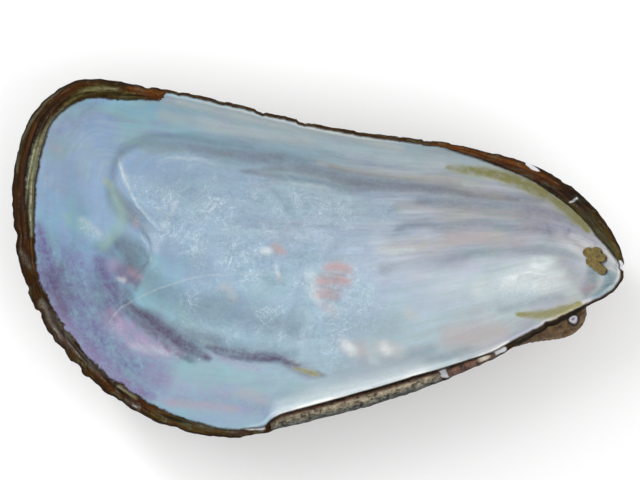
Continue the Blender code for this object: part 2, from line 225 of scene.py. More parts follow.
# Relief of the pearly face: height, then points of a soft line with its half width.
RELIEF = (
    # the broad groove that runs inside the belly margin
    (-0.45, ((-44.0, 14.3, 1.7), (-42.7, 19.7, 2.1), (-40.1, 23.3, 2.5), (-34.8, 24.6, 2.8),
             (-25.2, 23.5, 3.0), (-12.3, 22.2, 2.8), (2.7, 19.7, 2.3), (17.7, 18.0, 1.9),
             (32.7, 16.0, 1.7))),
    (-0.22, ((-16.6, 18.2, 1.1), (-3.8, 15.9, 1.3), (9.1, 14.6, 1.5), (28.5, 13.7, 1.5),
             (47.7, 11.7, 1.3))),
    # the step along its upper side
    (0.16, ((-42.2, 23.9, 1.1), (-35.8, 26.3, 1.1), (-25.1, 26.5, 1.1), (-12.3, 25.2, 1.1),
            (2.7, 22.8, 1.1))),
    # sharp ridge in front of the hind scar, and the hollow behind it
    (0.42, ((-41.8, 21.2, 0.6), (-41.5, 16.9, 1.1), (-39.2, 11.8, 1.1), (-36.0, 8.3, 1.1),
            (-33.9, 5.8, 0.8))),
    (-0.5, ((-44.1, 13.0, 1.9), (-42.0, 10.0, 2.5), (-38.8, 7.5, 2.1), (-36.9, 5.3, 1.3))),
    (0.25, ((-38.2, 5.3, 0.6), (-36.5, 1.9, 0.8), (-36.9, -2.4, 0.8), (-38.6, -6.7, 0.8))),
    # the scar itself, deepest along its front
    (-0.4, ((-42.4, 1.9, 3.4), (-40.7, -1.1, 3.4), (-41.1, -4.1, 2.5))),
    (0.3, ((-44.0, -5.2, 1.1), (-42.0, -4.8, 1.1))),
    # curved ridges and troughs below the scar
    (0.3, ((-49.1, -2.8, 0.8), (-48.0, -9.2, 1.1), (-45.6, -14.8, 1.1), (-41.8, -18.8, 0.8))),
    (-0.35, ((-46.6, -4.5, 1.1), (-45.3, -10.3, 1.3), (-42.9, -14.6, 1.1))),
    (0.28, ((-42.1, -6.0, 0.8), (-41.5, -11.0, 0.8), (-39.3, -15.0, 0.8))),
    (-0.75, ((-40.6, -11.8, 1.1), (-38.1, -14.2, 1.5), (-34.9, -16.8, 1.9), (-31.2, -19.6, 1.9),
             (-26.1, -22.6, 1.3))),
    (0.35, ((-43.9, -13.9, 1.7), (-40.1, -18.2, 2.1), (-35.4, -21.2, 1.7), (-30.5, -22.5, 1.1))),
    (-0.5, ((-22.7, -19.8, 0.8), (-19.7, -21.1, 1.3), (-14.5, -21.8, 1.3), (-8.1, -22.2, 1.1),
            (-4.6, -23.4, 0.8))),
    (0.3, ((-24.2, -22.4, 1.1), (-18.8, -23.9, 1.3), (-13.4, -24.3, 1.1))),
    (-0.35, ((-6.3, -23.9, 0.8), (-2.7, -24.7, 1.3), (1.0, -24.9, 0.8))),
    # blisters and bumps
    (0.5, ((-11.8, 1.7, 1.7), (-10.7, 1.2, 1.7))),
    (0.3, ((-8.8, -2.4, 1.1), (-8.5, -4.2, 1.1))),
    (0.4, ((-0.3, -3.3, 2.5), (0.5, -6.3, 3.0), (1.0, -9.8, 2.1))),
    (0.22, ((1.8, -2.2, 1.7), (5.7, -3.1, 1.5))),
    (-0.25, ((1.4, -3.7, 0.8), (6.1, -4.6, 0.8))),
    (0.2, ((1.8, -5.2, 1.5), (5.7, -6.1, 1.3))),
    (-0.2, ((0.5, -6.5, 0.6), (4.8, -7.4, 0.6))),
    (0.25, ((-2.7, -8.7, 1.5), (-1.6, -10.2, 1.5))),
    (0.22, ((-27.1, 3.8, 1.3), (-26.6, 3.4, 1.3))),
    (-0.15, ((-27.1, 3.8, 0.5), (-26.6, 3.4, 0.5))),
    (0.35, ((5.9, -20.5, 2.5), (8.7, -21.7, 2.5))),
    (0.4, ((13.4, -20.0, 3.0), (16.6, -20.8, 3.0))),
    (-0.25, ((2.7, -24.7, 2.5), (12.3, -24.6, 2.5), (20.8, -23.3, 2.1))),
    (0.3, ((-47.7, 6.2, 1.1), (-46.6, 4.5, 1.1))),
    (0.2, ((-54.5, 23.9, 1.3), (-54.1, 22.8, 1.3))),
    # rays of the front end
    (-0.25, ((57.3, 3.6, 1.3), (51.0, 6.2, 1.7), (41.4, 7.5, 1.7), (30.7, 7.5, 1.5), (17.8, 5.8, 1.3))),
    (0.2, ((55.2, 1.5, 1.3), (47.9, 3.6, 1.7), (37.2, 4.0, 1.7), (24.3, 3.0, 1.5), (13.5, 1.0, 1.3))),
    (-0.3, ((56.3, -0.3, 1.3), (48.9, 1.0, 1.7), (39.3, 0.8, 1.7), (26.4, -0.7, 1.7), (15.7, -2.0, 1.3))),
    (0.2, ((52.1, -2.4, 1.7), (43.6, -2.0, 2.1), (35.1, -2.4, 2.1))),
    (0.5, ((45.3, -5.0, 2.5), (46.7, -5.4, 2.5))),
    (-0.2, ((58.7, -1.1, 1.3), (56.6, -4.9, 1.5), (54.4, -7.5, 1.1))),
    (-0.2, ((57.1, 7.4, 1.1), (48.8, 9.8, 1.5), (34.9, 11.6, 1.5), (22.1, 11.6, 1.3))),
)

# What tints the pearly face, painted shade and painted highlights among the tints: strength, then points of
# a brushed line with its half width.
TINTS = {
    "violet": (
        (0.85, ((-59.1, 6.2, 1.3), (-58.5, 1.5, 2.8), (-57.1, -6.0, 4.2), (-53.9, -13.4, 4.2),
                (-48.8, -19.8, 4.2), (-43.7, -24.3, 3.4), (-38.9, -27.5, 2.1), (-35.2, -29.6, 1.1))),
        (0.62, ((-54.1, -1.7, 6.4), (-51.7, -9.2, 7.2), (-46.8, -16.0, 7.2), (-40.0, -22.4, 5.5),
                (-33.7, -25.9, 3.4))),
        (0.22, ((-29.3, -30.1, 2.1), (-19.8, -31.6, 2.1), (-11.8, -32.9, 1.5))),
        (0.25, ((-55.3, 24.9, 3.0), (-51.4, 30.4, 3.0), (-46.3, 33.0, 2.1))),
        (0.75, ((-47.0, -2.4, 2.5), (-45.3, -7.1, 3.2), (-42.7, -12.5, 3.0), (-39.7, -16.7, 2.1))),
        (0.35, ((-54.7, -18.7, 1.7), (-50.4, -23.6, 1.7), (-44.5, -27.8, 1.3))),
        (0.55, ((54.1, 6.2, 1.7), (58.7, 1.9, 1.9))),
        (0.12, ((-33.8, 18.6, 3.8), (-28.5, 14.4, 4.2))),
        (0.25, ((45.7, 9.0, 3.0), (53.1, 5.3, 2.5))),
    ),
    "plum": (
        (0.95, ((-41.5, -9.9, 0.8), (-38.1, -12.5, 1.7), (-34.7, -15.1, 2.1), (-31.2, -17.6, 2.3),
                (-27.4, -20.4, 1.9), (-23.9, -22.6, 0.8))),
        (0.75, ((-24.0, -20.0, 0.8), (-19.2, -20.9, 1.3), (-14.5, -21.1, 1.5), (-9.1, -21.8, 1.3),
                (-4.2, -23.4, 0.8))),
        (0.35, ((-47.2, -3.7, 1.3), (-45.7, -9.2, 1.7), (-43.7, -13.9, 1.3))),
        (0.5, ((-57.4, -3.8, 1.7), (-55.7, -9.2, 1.9), (-54.0, -12.6, 1.7))),
        (0.4, ((-41.1, -7.5, 1.5), (-39.8, -11.8, 1.5))),
        (0.3, ((-29.6, -15.7, 2.5), (-22.1, -18.3, 2.1))),
        (0.5, ((-42.8, -3.7, 1.7), (-39.0, -3.3, 1.7))),
        (0.6, ((-41.1, -4.6, 1.3), (-39.0, -5.0, 1.3), (-39.4, -6.7, 0.8))),
        (0.5, ((-54.9, -1.1, 1.1), (-55.7, -4.9, 1.3), (-53.6, -9.2, 1.5))),
        (0.4, ((-44.9, -5.4, 0.8), (-43.6, -9.2, 1.1), (-41.9, -12.7, 1.1))),
    ),
    "mauve": (
        (0.95, ((-44.4, -12.7, 1.7), (-41.0, -16.1, 3.0), (-36.3, -19.3, 3.2), (-30.3, -21.7, 1.7))),
        (0.6, ((-24.0, -21.5, 0.8), (-19.2, -22.8, 1.3), (-13.2, -23.7, 1.1))),
        (0.4, ((-35.8, -24.6, 3.0), (-27.3, -28.0, 3.0), (-19.8, -29.8, 2.1))),
        (0.7, ((-44.1, -2.4, 1.7), (-41.5, -4.1, 1.7), (-38.6, -4.1, 1.3))),
        (0.35, ((-56.9, -9.2, 1.7), (-52.6, -16.6, 2.1), (-46.3, -23.2, 2.1), (-37.8, -28.3, 1.7))),
        (0.45, ((56.6, 4.5, 1.1), (59.1, 1.5, 1.3))),
        (0.15, ((4.8, 3.6, 6.4), (22.1, -5.0, 5.5), (32.8, -9.3, 4.7))),
        (0.35, ((-35.7, -29.6, 1.3), (-28.2, -31.4, 1.7), (-19.7, -32.9, 1.5), (-13.3, -33.7, 0.8))),
        (0.35, ((53.3, -1.1, 1.5), (56.2, -3.2, 1.7), (56.0, -6.6, 1.3))),
        (0.4, ((-41.1, -4.1, 1.3), (-38.6, -5.0, 1.1))),
    ),
    "pink": (
        (0.5, ((-40.3, -3.3, 1.1), (-38.8, -4.1, 0.8))),
        (0.3, ((-31.4, -30.9, 1.1), (-24.0, -32.2, 1.3), (-17.6, -33.1, 0.8))),
        (0.85, ((1.8, -2.0, 1.1), (4.2, -2.2, 1.9), (6.4, -3.1, 1.5))),
        (0.85, ((-0.1, -4.6, 1.5), (2.9, -4.8, 2.3), (5.9, -5.7, 1.5))),
        (0.75, ((-0.5, -7.4, 1.3), (1.8, -7.6, 2.1), (4.0, -8.7, 1.3))),
        (0.35, ((1.0, -10.2, 1.5), (2.7, -11.3, 1.3))),
        (0.4, ((3.1, -4.6, 3.8), (2.3, -7.6, 3.0))),
        (0.85, ((-9.0, 2.3, 1.3), (-7.5, 1.4, 0.8))),
        (0.4, ((-8.8, -3.3, 0.6), (-7.9, -5.0, 0.6))),
        (0.35, ((5.9, -19.6, 1.9), (9.1, -20.0, 1.9))),
        (0.3, ((13.8, -19.4, 1.7), (16.6, -20.0, 1.7))),
        (0.4, ((28.4, -16.8, 2.5), (34.8, -15.9, 2.8), (39.5, -15.2, 1.7))),
        (0.35, ((28.6, 4.7, 2.1), (37.2, 3.6, 2.5), (44.0, 3.6, 1.7))),
        (0.6, ((57.3, 1.9, 1.5), (60.3, 0.2, 1.3))),
        (0.75, ((56.6, -7.1, 0.8), (58.5, -6.0, 0.8))),
        (0.3, ((-16.6, -29.6, 1.7), (-11.9, -31.0, 1.7))),
        (0.3, ((-39.2, 6.8, 1.1), (-38.8, 6.2, 0.8))),
    ),
    "green": (
        (0.4, ((-40.1, 25.0, 2.1), (-34.1, 23.7, 2.1), (-30.5, 22.4, 1.7))),
        (0.9, ((-45.7, 16.2, 0.8), (-44.7, 15.6, 1.1))),
        (0.9, ((-44.7, 15.2, 1.1), (-43.2, 11.3, 1.7), (-42.6, 7.5, 1.7), (-43.9, 4.5, 1.5),
               (-46.0, 1.9, 1.3))),
        (0.5, ((-52.9, 8.3, 1.1), (-52.3, 6.6, 0.8))),
        (0.4, ((-50.0, 6.2, 1.7), (-48.7, 4.5, 1.3))),
        (0.5, ((-29.6, -10.6, 1.1), (-26.4, -15.3, 1.1), (-23.1, -20.0, 0.8))),
        (0.4, ((-49.5, -4.1, 0.8), (-48.0, -9.6, 1.1), (-45.6, -14.8, 0.8))),
        (0.35, ((-29.9, -23.8, 2.5), (-18.8, -26.8, 3.0), (-3.7, -28.9, 2.5))),
        (0.25, ((-46.5, -7.1, 1.3), (-44.0, -11.8, 1.1))),
    ),
    "warm": (
        (0.4, ((0.5, 19.5, 0.6), (17.7, 17.7, 1.1), (30.6, 15.2, 1.3), (40.2, 13.0, 1.1))),
        (0.35, ((17.8, 10.5, 1.1), (28.5, 9.2, 1.5), (43.5, 9.6, 1.3))),
        (0.55, ((14.6, 1.7, 1.3), (20.0, 2.1, 1.7), (28.6, 3.6, 1.7), (39.3, 4.5, 1.5))),
        (0.35, ((2.7, -11.9, 1.7), (4.4, -12.8, 1.3))),
        (0.4, ((-20.6, -7.2, 1.5), (-18.5, -8.9, 1.3))),
        (0.45, ((19.5, -11.9, 1.3), (20.8, -12.8, 1.1))),
        (0.35, ((29.5, -17.4, 3.0), (39.0, -16.3, 2.5))),
        (0.3, ((9.1, -20.4, 3.0), (17.3, -20.4, 2.1))),
        (0.25, ((-55.9, 23.2, 1.1), (-54.5, 22.8, 1.1))),
        (0.3, ((-19.7, 27.5, 0.8), (-3.7, 26.0, 1.1))),
        (0.6, ((-35.6, 33.8, 1.3), (-24.9, 32.5, 1.9), (-12.2, 29.9, 1.7), (2.7, 26.5, 1.5),
               (17.5, 23.2, 1.1))),
        (0.45, ((-32.5, 30.4, 1.7), (-18.7, 27.9, 2.1), (-1.6, 24.5, 1.5))),
        (0.45, ((44.6, 8.8, 2.1), (48.9, 7.5, 1.7))),
    ),
    # Pale streaks of the pearl, and painted highlights: on the ridge crests, the blisters and bumps, the
    # hinge-side shelf where light falls, and the front end.
    "pale": (
        (0.5, ((-41.7, 19.9, 0.4), (-41.1, 16.9, 0.8), (-40.2, 14.3, 0.5))),
        (0.22, ((-39.4, 12.6, 0.4), (-36.9, 9.6, 0.4), (-34.5, 6.8, 0.6))),
        (0.3, ((-36.7, 6.2, 0.8), (-35.4, 4.0, 1.1), (-35.0, 1.9, 0.8))),
        (0.25, ((-34.2, 20.5, 0.4), (-28.4, 20.8, 0.5), (-22.2, 19.9, 0.4))),
        (0.5, ((-10.6, 15.6, 0.4), (-3.8, 15.0, 0.6), (3.1, 14.4, 0.6))),
        (0.55, ((-30.4, 11.8, 0.5), (-31.3, 8.8, 0.6), (-32.6, 6.2, 0.6))),
        (0.75, ((-8.0, -32.2, 2.5), (6.9, -27.6, 3.4), (21.9, -23.7, 2.1))),
        (0.35, ((-25.0, 29.6, 1.3), (-3.7, 25.8, 1.7), (6.9, 22.8, 2.3), (17.6, 20.7, 2.3),
                (26.2, 19.0, 1.5))),
        (0.35, ((-50.0, 7.5, 0.8), (-48.3, 6.6, 0.8), (-46.4, 4.5, 0.6))),
        (0.5, ((6.1, -18.8, 1.5), (7.4, -20.5, 1.7))),
        (0.5, ((14.3, -19.6, 1.7), (17.7, -20.6, 1.7))),
        (0.5, ((11.7, -22.5, 1.1), (13.4, -23.4, 1.1))),
        (0.5, ((-1.6, -3.3, 1.1), (-1.2, -7.2, 0.8))),
        (0.4, ((-29.2, 33.3, 0.8), (-3.7, 28.0, 1.1), (17.5, 23.6, 1.1))),
        (0.7, ((35.0, -6.7, 2.5), (42.5, -5.9, 3.4), (50.3, -5.2, 3.0))),
        (0.4, ((13.5, 3.6, 2.5), (20.0, -2.9, 3.8), (29.7, -5.5, 3.8))),
        (0.6, ((14.6, 1.0, 0.5), (20.0, 1.7, 0.6))),
        (0.5, ((-27.5, 4.0, 0.4), (-26.4, 3.6, 0.4))),
        (0.4, ((53.3, 7.5, 0.8), (56.2, 4.9, 1.1), (58.3, 2.3, 1.1))),
    ),
    # White edges and flecks, and painted highlights and glints: along the hinge lip, on the blisters and
    # bumps, on the ridge below the trough and over the front end.
    "white": (
        (1.6, ((-9.9, -35.2, 0.3), (-8.0, -33.6, 0.5), (-3.7, -32.4, 0.6), (6.9, -29.5, 0.7),
               (17.6, -26.7, 0.6), (26.1, -23.9, 0.6), (34.5, -21.0, 0.6), (40.8, -18.2, 0.6))),
        (0.16, ((-8.0, -31.4, 1.1), (-3.7, -30.5, 1.5), (6.9, -27.8, 1.5), (17.6, -24.8, 1.3),
                (26.1, -22.2, 0.8))),
        (0.8, ((-12.0, 1.7, 0.8), (-10.7, 1.4, 1.1))),
        (0.3, ((-2.1, -3.3, 1.1), (-1.6, -7.2, 1.3), (0.1, -9.8, 0.8))),
        (0.5, ((-8.8, -1.6, 0.4), (-8.5, -4.2, 0.5))),
        (0.45, ((-43.6, -4.8, 0.4), (-42.2, -5.0, 0.6))),
        (0.6, ((6.1, -19.2, 1.1), (7.0, -20.2, 1.1))),
        (0.4, ((14.3, -19.4, 1.1), (15.1, -20.4, 1.1))),
        (0.9, ((59.9, 2.1, 0.6), (61.5, 0.2, 0.6), (62.6, -0.9, 0.8))),
        (0.7, ((55.0, 4.5, 1.1), (57.1, 3.2, 1.3), (59.1, 1.5, 1.3))),
        (0.45, ((52.5, 4.5, 1.5), (57.1, 0.6, 1.3))),
        (0.6, ((47.4, -5.6, 1.9), (49.0, -5.8, 1.9))),
        (0.35, ((40.4, -5.2, 2.1), (45.7, -4.4, 3.0), (51.2, -5.0, 2.1))),
        (0.18, ((-40.5, -19.1, 0.6), (-36.7, -20.4, 1.1), (-32.5, -21.5, 0.6))),
    ),
    "teal": (
        (0.85, ((60.5, -2.4, 0.6), (61.8, -4.3, 1.3), (60.5, -6.6, 1.3), (58.0, -8.5, 0.8))),
        (0.5, ((58.7, -2.4, 1.1), (58.6, -5.8, 1.3), (56.7, -7.9, 1.1))),
        (0.5, ((-42.8, 3.6, 1.9), (-40.3, 2.3, 2.5), (-38.6, -1.1, 2.1))),
    ),
    "brown": (
        (0.5, ((-15.8, 18.6, 0.4), (-5.9, 18.2, 1.1), (4.8, 16.7, 1.3), (17.7, 15.0, 1.1),
               (30.6, 13.7, 1.1), (43.4, 12.4, 0.6))),
        (0.6, ((2.7, 19.0, 0.6), (17.7, 16.9, 0.8), (30.6, 15.2, 0.8))),
        (0.4, ((-35.9, 22.9, 0.8), (-20.9, 22.5, 1.3), (-8.0, 20.7, 1.1))),
        (1.0, ((-7.2, -22.4, 0.8), (-4.2, -23.9, 1.3), (-1.2, -24.9, 1.3), (1.8, -25.5, 0.6))),
        (0.35, ((17.8, 10.9, 1.1), (30.7, 10.5, 1.3), (43.5, 9.2, 1.1))),
        (0.45, ((-43.2, 14.3, 0.8), (-41.5, 11.1, 1.5), (-39.6, 7.9, 1.5))),
    ),
    "shade": (
        (0.6, ((-43.8, 14.7, 0.6), (-43.1, 19.4, 0.8), (-41.0, 22.6, 0.8), (-36.9, 24.3, 1.1),
               (-30.5, 23.5, 1.5), (-20.9, 22.5, 1.9), (-8.0, 20.5, 2.3), (4.8, 17.5, 2.1),
               (17.7, 15.2, 1.5), (32.8, 13.5, 1.1))),
        (0.4, ((-41.4, 24.1, 0.6), (-35.8, 26.0, 0.8), (-27.3, 25.4, 1.1), (-14.4, 23.7, 1.1))),
        (0.5, ((-16.6, 18.4, 0.4), (-3.8, 16.1, 0.8), (9.1, 14.8, 1.3), (28.5, 13.7, 1.3),
               (47.7, 12.2, 1.1))),
        (0.7, ((-43.8, 13.0, 1.7), (-42.0, 10.0, 2.5), (-39.0, 7.5, 2.3), (-36.9, 5.3, 1.7))),
        (1.3, ((-42.8, 2.3, 1.9), (-40.7, 1.0, 3.0), (-39.9, -1.6, 3.0), (-40.5, -3.9, 2.3))),
        (0.9, ((-38.4, 2.3, 1.3), (-37.7, -0.3, 1.5), (-38.2, -2.8, 1.5), (-39.4, -5.2, 1.1))),
        (0.6, ((-46.8, 1.5, 1.5), (-44.9, 0.6, 2.1), (-43.2, -1.1, 2.3), (-42.0, -2.8, 1.9))),
        (0.6, ((-46.6, -1.1, 2.1), (-44.5, -5.8, 2.3), (-41.9, -9.7, 2.1))),
        (0.6, ((-36.0, -3.9, 2.5), (-32.8, -7.6, 3.4), (-26.4, -10.4, 3.8), (-16.7, -11.9, 3.8),
               (-5.9, -14.7, 3.4))),
        (0.3, ((-32.8, 1.5, 3.0), (-25.3, -2.9, 3.4))),
        (0.6, ((-35.9, -14.0, 3.0), (-28.5, -17.5, 3.4), (-21.0, -19.4, 2.5))),
        (0.3, ((-54.9, -2.8, 3.4), (-51.1, -9.2, 3.4))),
        (0.5, ((58.3, 2.3, 0.8), (52.1, 4.9, 1.3), (43.6, 6.6, 1.5), (30.7, 7.1, 1.3), (17.8, 5.8, 1.1))),
        (0.5, ((57.7, 7.0, 0.8), (48.8, 9.8, 1.3), (34.9, 11.6, 1.5), (22.1, 11.8, 1.3))),
        (0.45, ((57.3, 0.2, 0.8), (48.9, 1.0, 1.3), (39.3, 0.6, 1.5), (26.4, -1.1, 1.7),
                (14.6, -2.9, 1.5))),
        (0.35, ((4.8, -24.7, 3.4), (14.4, -22.9, 3.0), (24.1, -20.0, 2.1))),
        (0.3, ((4.8, -15.8, 4.2), (15.6, -14.7, 3.8))),
        (0.5, ((-25.3, -17.5, 2.5), (-16.7, -19.6, 2.1), (-5.9, -20.9, 1.7))),
        (0.3, ((-54.9, 22.8, 3.0), (-52.9, 14.3, 3.0), (-49.8, 9.0, 2.1))),
        (0.4, ((47.4, -13.0, 1.7), (38.8, -18.7, 1.7), (30.4, -20.9, 1.5))),
        (0.45, ((42.6, 1.2, 1.7), (49.6, 1.2, 1.7), (56.3, -0.3, 1.5))),
        (0.55, ((59.5, -1.5, 1.1), (58.2, -4.1, 1.5), (56.5, -6.6, 1.1))),
        (0.35, ((53.3, -1.1, 1.7), (54.9, -4.1, 1.9))),
        (0.5, ((18.1, -23.8, 1.1), (26.2, -21.4, 1.3), (32.6, -19.2, 1.1))),
        (0.35, ((51.8, -8.4, 1.3), (45.5, -9.7, 1.3), (39.2, -11.0, 1.1))),
    ),
    "film": (
        (0.8, ((27.5, 18.4, 0.6), (30.9, 18.1, 1.3), (34.7, 17.9, 1.5), (37.9, 17.5, 1.5))),
        (1.0, ((33.0, 18.3, 0.8), (36.8, 17.7, 1.5), (40.7, 16.8, 1.7), (44.5, 15.6, 1.9),
               (48.8, 13.6, 1.9), (52.7, 11.3, 1.9), (56.0, 8.5, 1.7), (58.2, 6.0, 1.1))),
        (1.05, ((42.7, -12.0, 0.7), (45.4, -12.4, 1.1), (48.6, -12.6, 1.5), (51.6, -11.6, 1.4),
                (55.2, -9.7, 0.8))),
        (0.8, ((-5.5, -23.7, 0.4), (-3.1, -24.3, 0.7), (-0.8, -24.9, 0.7), (0.7, -25.5, 0.4))),
        (0.5, ((-45.9, 16.4, 0.8), (-44.7, 15.4, 1.1))),
        (0.3, ((-44.3, 14.3, 0.8), (-42.8, 10.9, 1.1), (-42.4, 7.5, 1.1))),
        (0.26, ((-42.8, 4.9, 0.8), (-45.3, 2.3, 0.8))),
        (0.2, ((-53.3, 8.5, 1.1), (-52.3, 7.0, 0.8))),
    ),
    "frost": (
        (1.0, ((-37.7, 13.9, 4.2), (-29.6, 14.3, 7.2), (-14.6, 10.5, 7.2), (2.7, 9.6, 5.5),
               (16.0, 9.6, 2.5))),
        (1.0, ((-30.7, 6.8, 8.5), (-16.7, 1.4, 12.7), (-3.8, -2.9, 12.7), (4.8, -9.4, 10.6))),
        (1.0, ((-22.1, -11.5, 8.5), (-10.3, -13.7, 9.5), (2.7, -16.9, 7.4))),
        (0.6, ((39.3, -7.2, 4.2), (48.8, -6.7, 4.7))),
        (0.8, ((-49.1, 6.6, 1.7), (-46.6, 4.0, 1.7))),
        (0.5, ((-43.3, -15.6, 1.7), (-35.9, -20.4, 1.7), (-30.6, -21.7, 1.1))),
    ),
}
# What tints the horny margin.
HORN_TINTS = {
    "horn_white": (
        (1.0, ((26.2, -24.6, 0.8), (28.1, -23.8, 1.1))),
        (0.9, ((37.2, -20.3, 0.6), (39.9, -19.3, 0.7))),
        (0.8, ((-16.0, -36.7, 0.4), (-11.8, -36.5, 0.5))),
        (0.8, ((63.4, -1.1, 0.4), (64.5, -2.3, 0.5))),
        (1.0, ((43.9, 19.7, 0.4), (45.2, 19.1, 0.5), (46.3, 18.6, 0.3))),
        (0.9, ((53.9, 12.1, 0.3), (55.2, 12.9, 0.3))),
        (0.4, ((-39.6, -30.8, 0.3), (-38.3, -31.8, 0.4))),
    ),
    "horn_flake": (
        (0.8, ((-58.9, -9.6, 0.6), (-56.8, -13.8, 1.1), (-54.7, -16.8, 1.1), (-52.2, -19.3, 0.8))),
        (0.6, ((-62.4, 0.6, 0.6), (-61.1, -2.3, 0.6))),
        (0.7, ((-51.3, -20.2, 0.6), (-48.4, -22.8, 0.8), (-45.4, -25.3, 0.6))),
        (0.6, ((-40.7, -29.9, 0.6), (-38.1, -31.6, 0.8))),
        (0.4, ((-24.9, -36.3, 0.6), (-16.4, -37.3, 0.8))),
    ),
    "horn_black": (
        # the black valley between the layers of the hind margin: dark skin, with painted shadow in the
        # groove
        (1.0, ((-57.9, 29.7, 0.3), (-60.3, 24.9, 0.5), (-61.6, 18.5, 0.6), (-61.8, 11.0, 0.5),
               (-61.4, 4.0, 0.4))),
        (1.0, ((-49.2, 38.0, 0.4), (-45.3, 38.4, 0.6), (-40.7, 37.8, 1.0), (-36.8, 36.5, 0.7))),
        (0.7, ((-64.1, 18.5, 0.4), (-63.8, 24.8, 0.4), (-64.5, 14.2, 0.4))),
        (0.9, ((-59.9, -1.1, 0.5), (-57.7, -9.2, 0.4), (-54.3, -14.7, 0.3))),
        (0.8, ((-50.5, -20.2, 0.3), (-46.2, -24.5, 0.4), (-41.5, -28.7, 0.5), (-38.8, -30.8, 0.5))),
        (0.5, ((51.8, 15.5, 0.4), (54.7, 12.9, 0.6), (57.3, 10.0, 0.6), (59.8, 6.6, 0.4))),
    ),
    "horn_pale": (
        (0.85, ((-53.9, 31.0, 0.4), (-57.6, 26.2, 0.8), (-59.5, 22.3, 1.1), (-60.5, 17.0, 1.1),
                (-60.8, 11.1, 1.0), (-60.7, 4.9, 0.6))),
        (0.35, ((-49.2, 34.8, 0.3), (-46.2, 35.5, 0.4), (-42.4, 35.7, 0.3))),
        (0.7, ((-56.9, -8.7, 0.4), (-55.2, -12.1, 0.6), (-53.1, -16.0, 0.5), (-51.4, -18.1, 0.4))),
        (0.8, ((-49.6, -20.8, 0.4), (-46.7, -23.0, 0.6), (-43.3, -25.1, 0.6))),
        (0.5, ((-42.4, -27.0, 0.4), (-38.8, -29.6, 0.4))),
        (0.35, ((-63.2, 18.0, 0.3), (-62.6, 24.8, 0.3), (-58.5, 31.6, 0.3), (-52.6, 36.7, 0.3))),
    ),
    "horn_orange": (
        (1.5, ((-39.8, 35.7, 0.6), (-36.6, 34.6, 1.3), (-33.2, 33.8, 1.1))),
        (0.8, ((-59.8, 28.2, 0.4), (-61.3, 22.7, 0.5), (-62.0, 16.4, 0.5), (-61.8, 8.9, 0.6),
               (-61.3, 3.6, 0.6), (-60.5, 0.6, 0.6))),
        (1.3, ((17.5, 24.2, 0.6), (28.1, 22.7, 0.8), (38.7, 20.1, 1.1), (46.1, 17.6, 1.1),
               (51.4, 14.8, 0.8), (56.6, 10.6, 0.6))),
        (0.6, ((-56.8, 32.5, 0.4), (-51.5, 35.5, 0.6), (-46.2, 37.2, 0.6))),
        (1.0, ((-60.5, -1.5, 0.6), (-59.4, -4.9, 0.8), (-57.7, -8.7, 0.6))),
        (0.6, ((-47.3, -24.4, 0.4), (-42.4, -28.3, 0.6), (-36.6, -31.5, 0.8), (-31.3, -34.2, 0.8))),
    ),
    "horn_olive": (
        (0.8, ((51.7, 13.4, 0.6), (55.9, 10.0, 1.3), (59.7, 5.7, 1.7), (61.7, 2.5, 1.5),
               (62.9, 0.2, 0.8))),
        (1.0, ((-53.5, 32.1, 0.6), (-49.6, 34.4, 1.0), (-45.1, 35.5, 1.2), (-40.9, 34.6, 1.1),
               (-36.7, 33.2, 0.6))),
        (0.5, ((-35.6, -32.9, 1.1), (-27.1, -35.9, 1.3), (-19.6, -37.1, 1.1))),
        (0.35, ((-58.2, -2.4, 0.6), (-54.7, -15.5, 0.6))),
    ),
}

# Thin marks on the pearly face: name, the points along each, how wide it is drawn, its
# colour and its strength.
THIN_MARKS = (
    # pale lines along the crests of the sharp ridge and of the ridge behind the scar, painted highlights
    ("ridge_line", ((-42.5, 21.2), (-41.9, 18.2), (-40.9, 14.8), (-39.0, 11.5), (-36.4, 8.5), (-34.1, 6.0)),
     0.22, (0.60, 0.70, 0.72), 0.6),
    ("hind_ridge_line", ((-38.2, 5.3), (-37.3, 3.6), (-36.0, 1.5), (-35.8, -1.1)),
     0.2, (0.55, 0.64, 0.66), 0.4),
    ("hair_line",
     ((-45.2, -15.2), (-41.9, -11.0), (-36.0, -7.6), (-29.6, -5.2), (-22.1, -3.9), (-10.3, -3.7)),
     0.16, (0.50, 0.53, 0.53), 0.38),
    ("scar_line", ((-39.8, -4.6), (-37.7, -2.4), (-36.2, 0.2), (-35.8, 2.7), (-36.9, 4.9)),
     0.3, (0.13, 0.17, 0.21), 0.7),
    ("hind_fold_line", ((-49.5, -1.1), (-48.6, -7.1), (-46.9, -12.4), (-43.9, -17.3), (-40.1, -20.3)),
     0.5, (0.16, 0.17, 0.30), 0.45),
    ("trough_line", ((-40.4, -12.0), (-37.8, -14.2), (-34.6, -17.0), (-30.8, -20.0), (-25.9, -22.6)),
     0.6, (0.06, 0.045, 0.085), 0.5),
    ("second_trough_line", ((-22.5, -20.0), (-19.2, -21.3), (-14.5, -22.0), (-9.8, -22.2)),
     0.5, (0.10, 0.075, 0.14), 0.5),
    ("front_crack_line", ((54.6, 11.5), (55.8, 10.6), (57.5, 9.1)), 0.3, (0.75, 0.78, 0.74), 0.9),
    ("upper_ledge_line", ((-34.2, 20.5), (-31.2, 21.2), (-28.4, 20.8), (-25.2, 21.2), (-22.0, 20.1)),
     0.25, (0.50, 0.60, 0.64), 0.5),
    ("tip_crack_line", ((61.1, -2.2), (62.5, -2.6), (63.6, -3.2), (64.9, -4.0)),
     0.28, (0.66, 0.66, 0.60), 0.95),
    ("fine_hind_line", ((-58.3, 16.4), (-55.4, 14.7), (-52.0, 13.0), (-49.1, 11.1)),
     0.16, (0.22, 0.30, 0.38), 0.35),
)
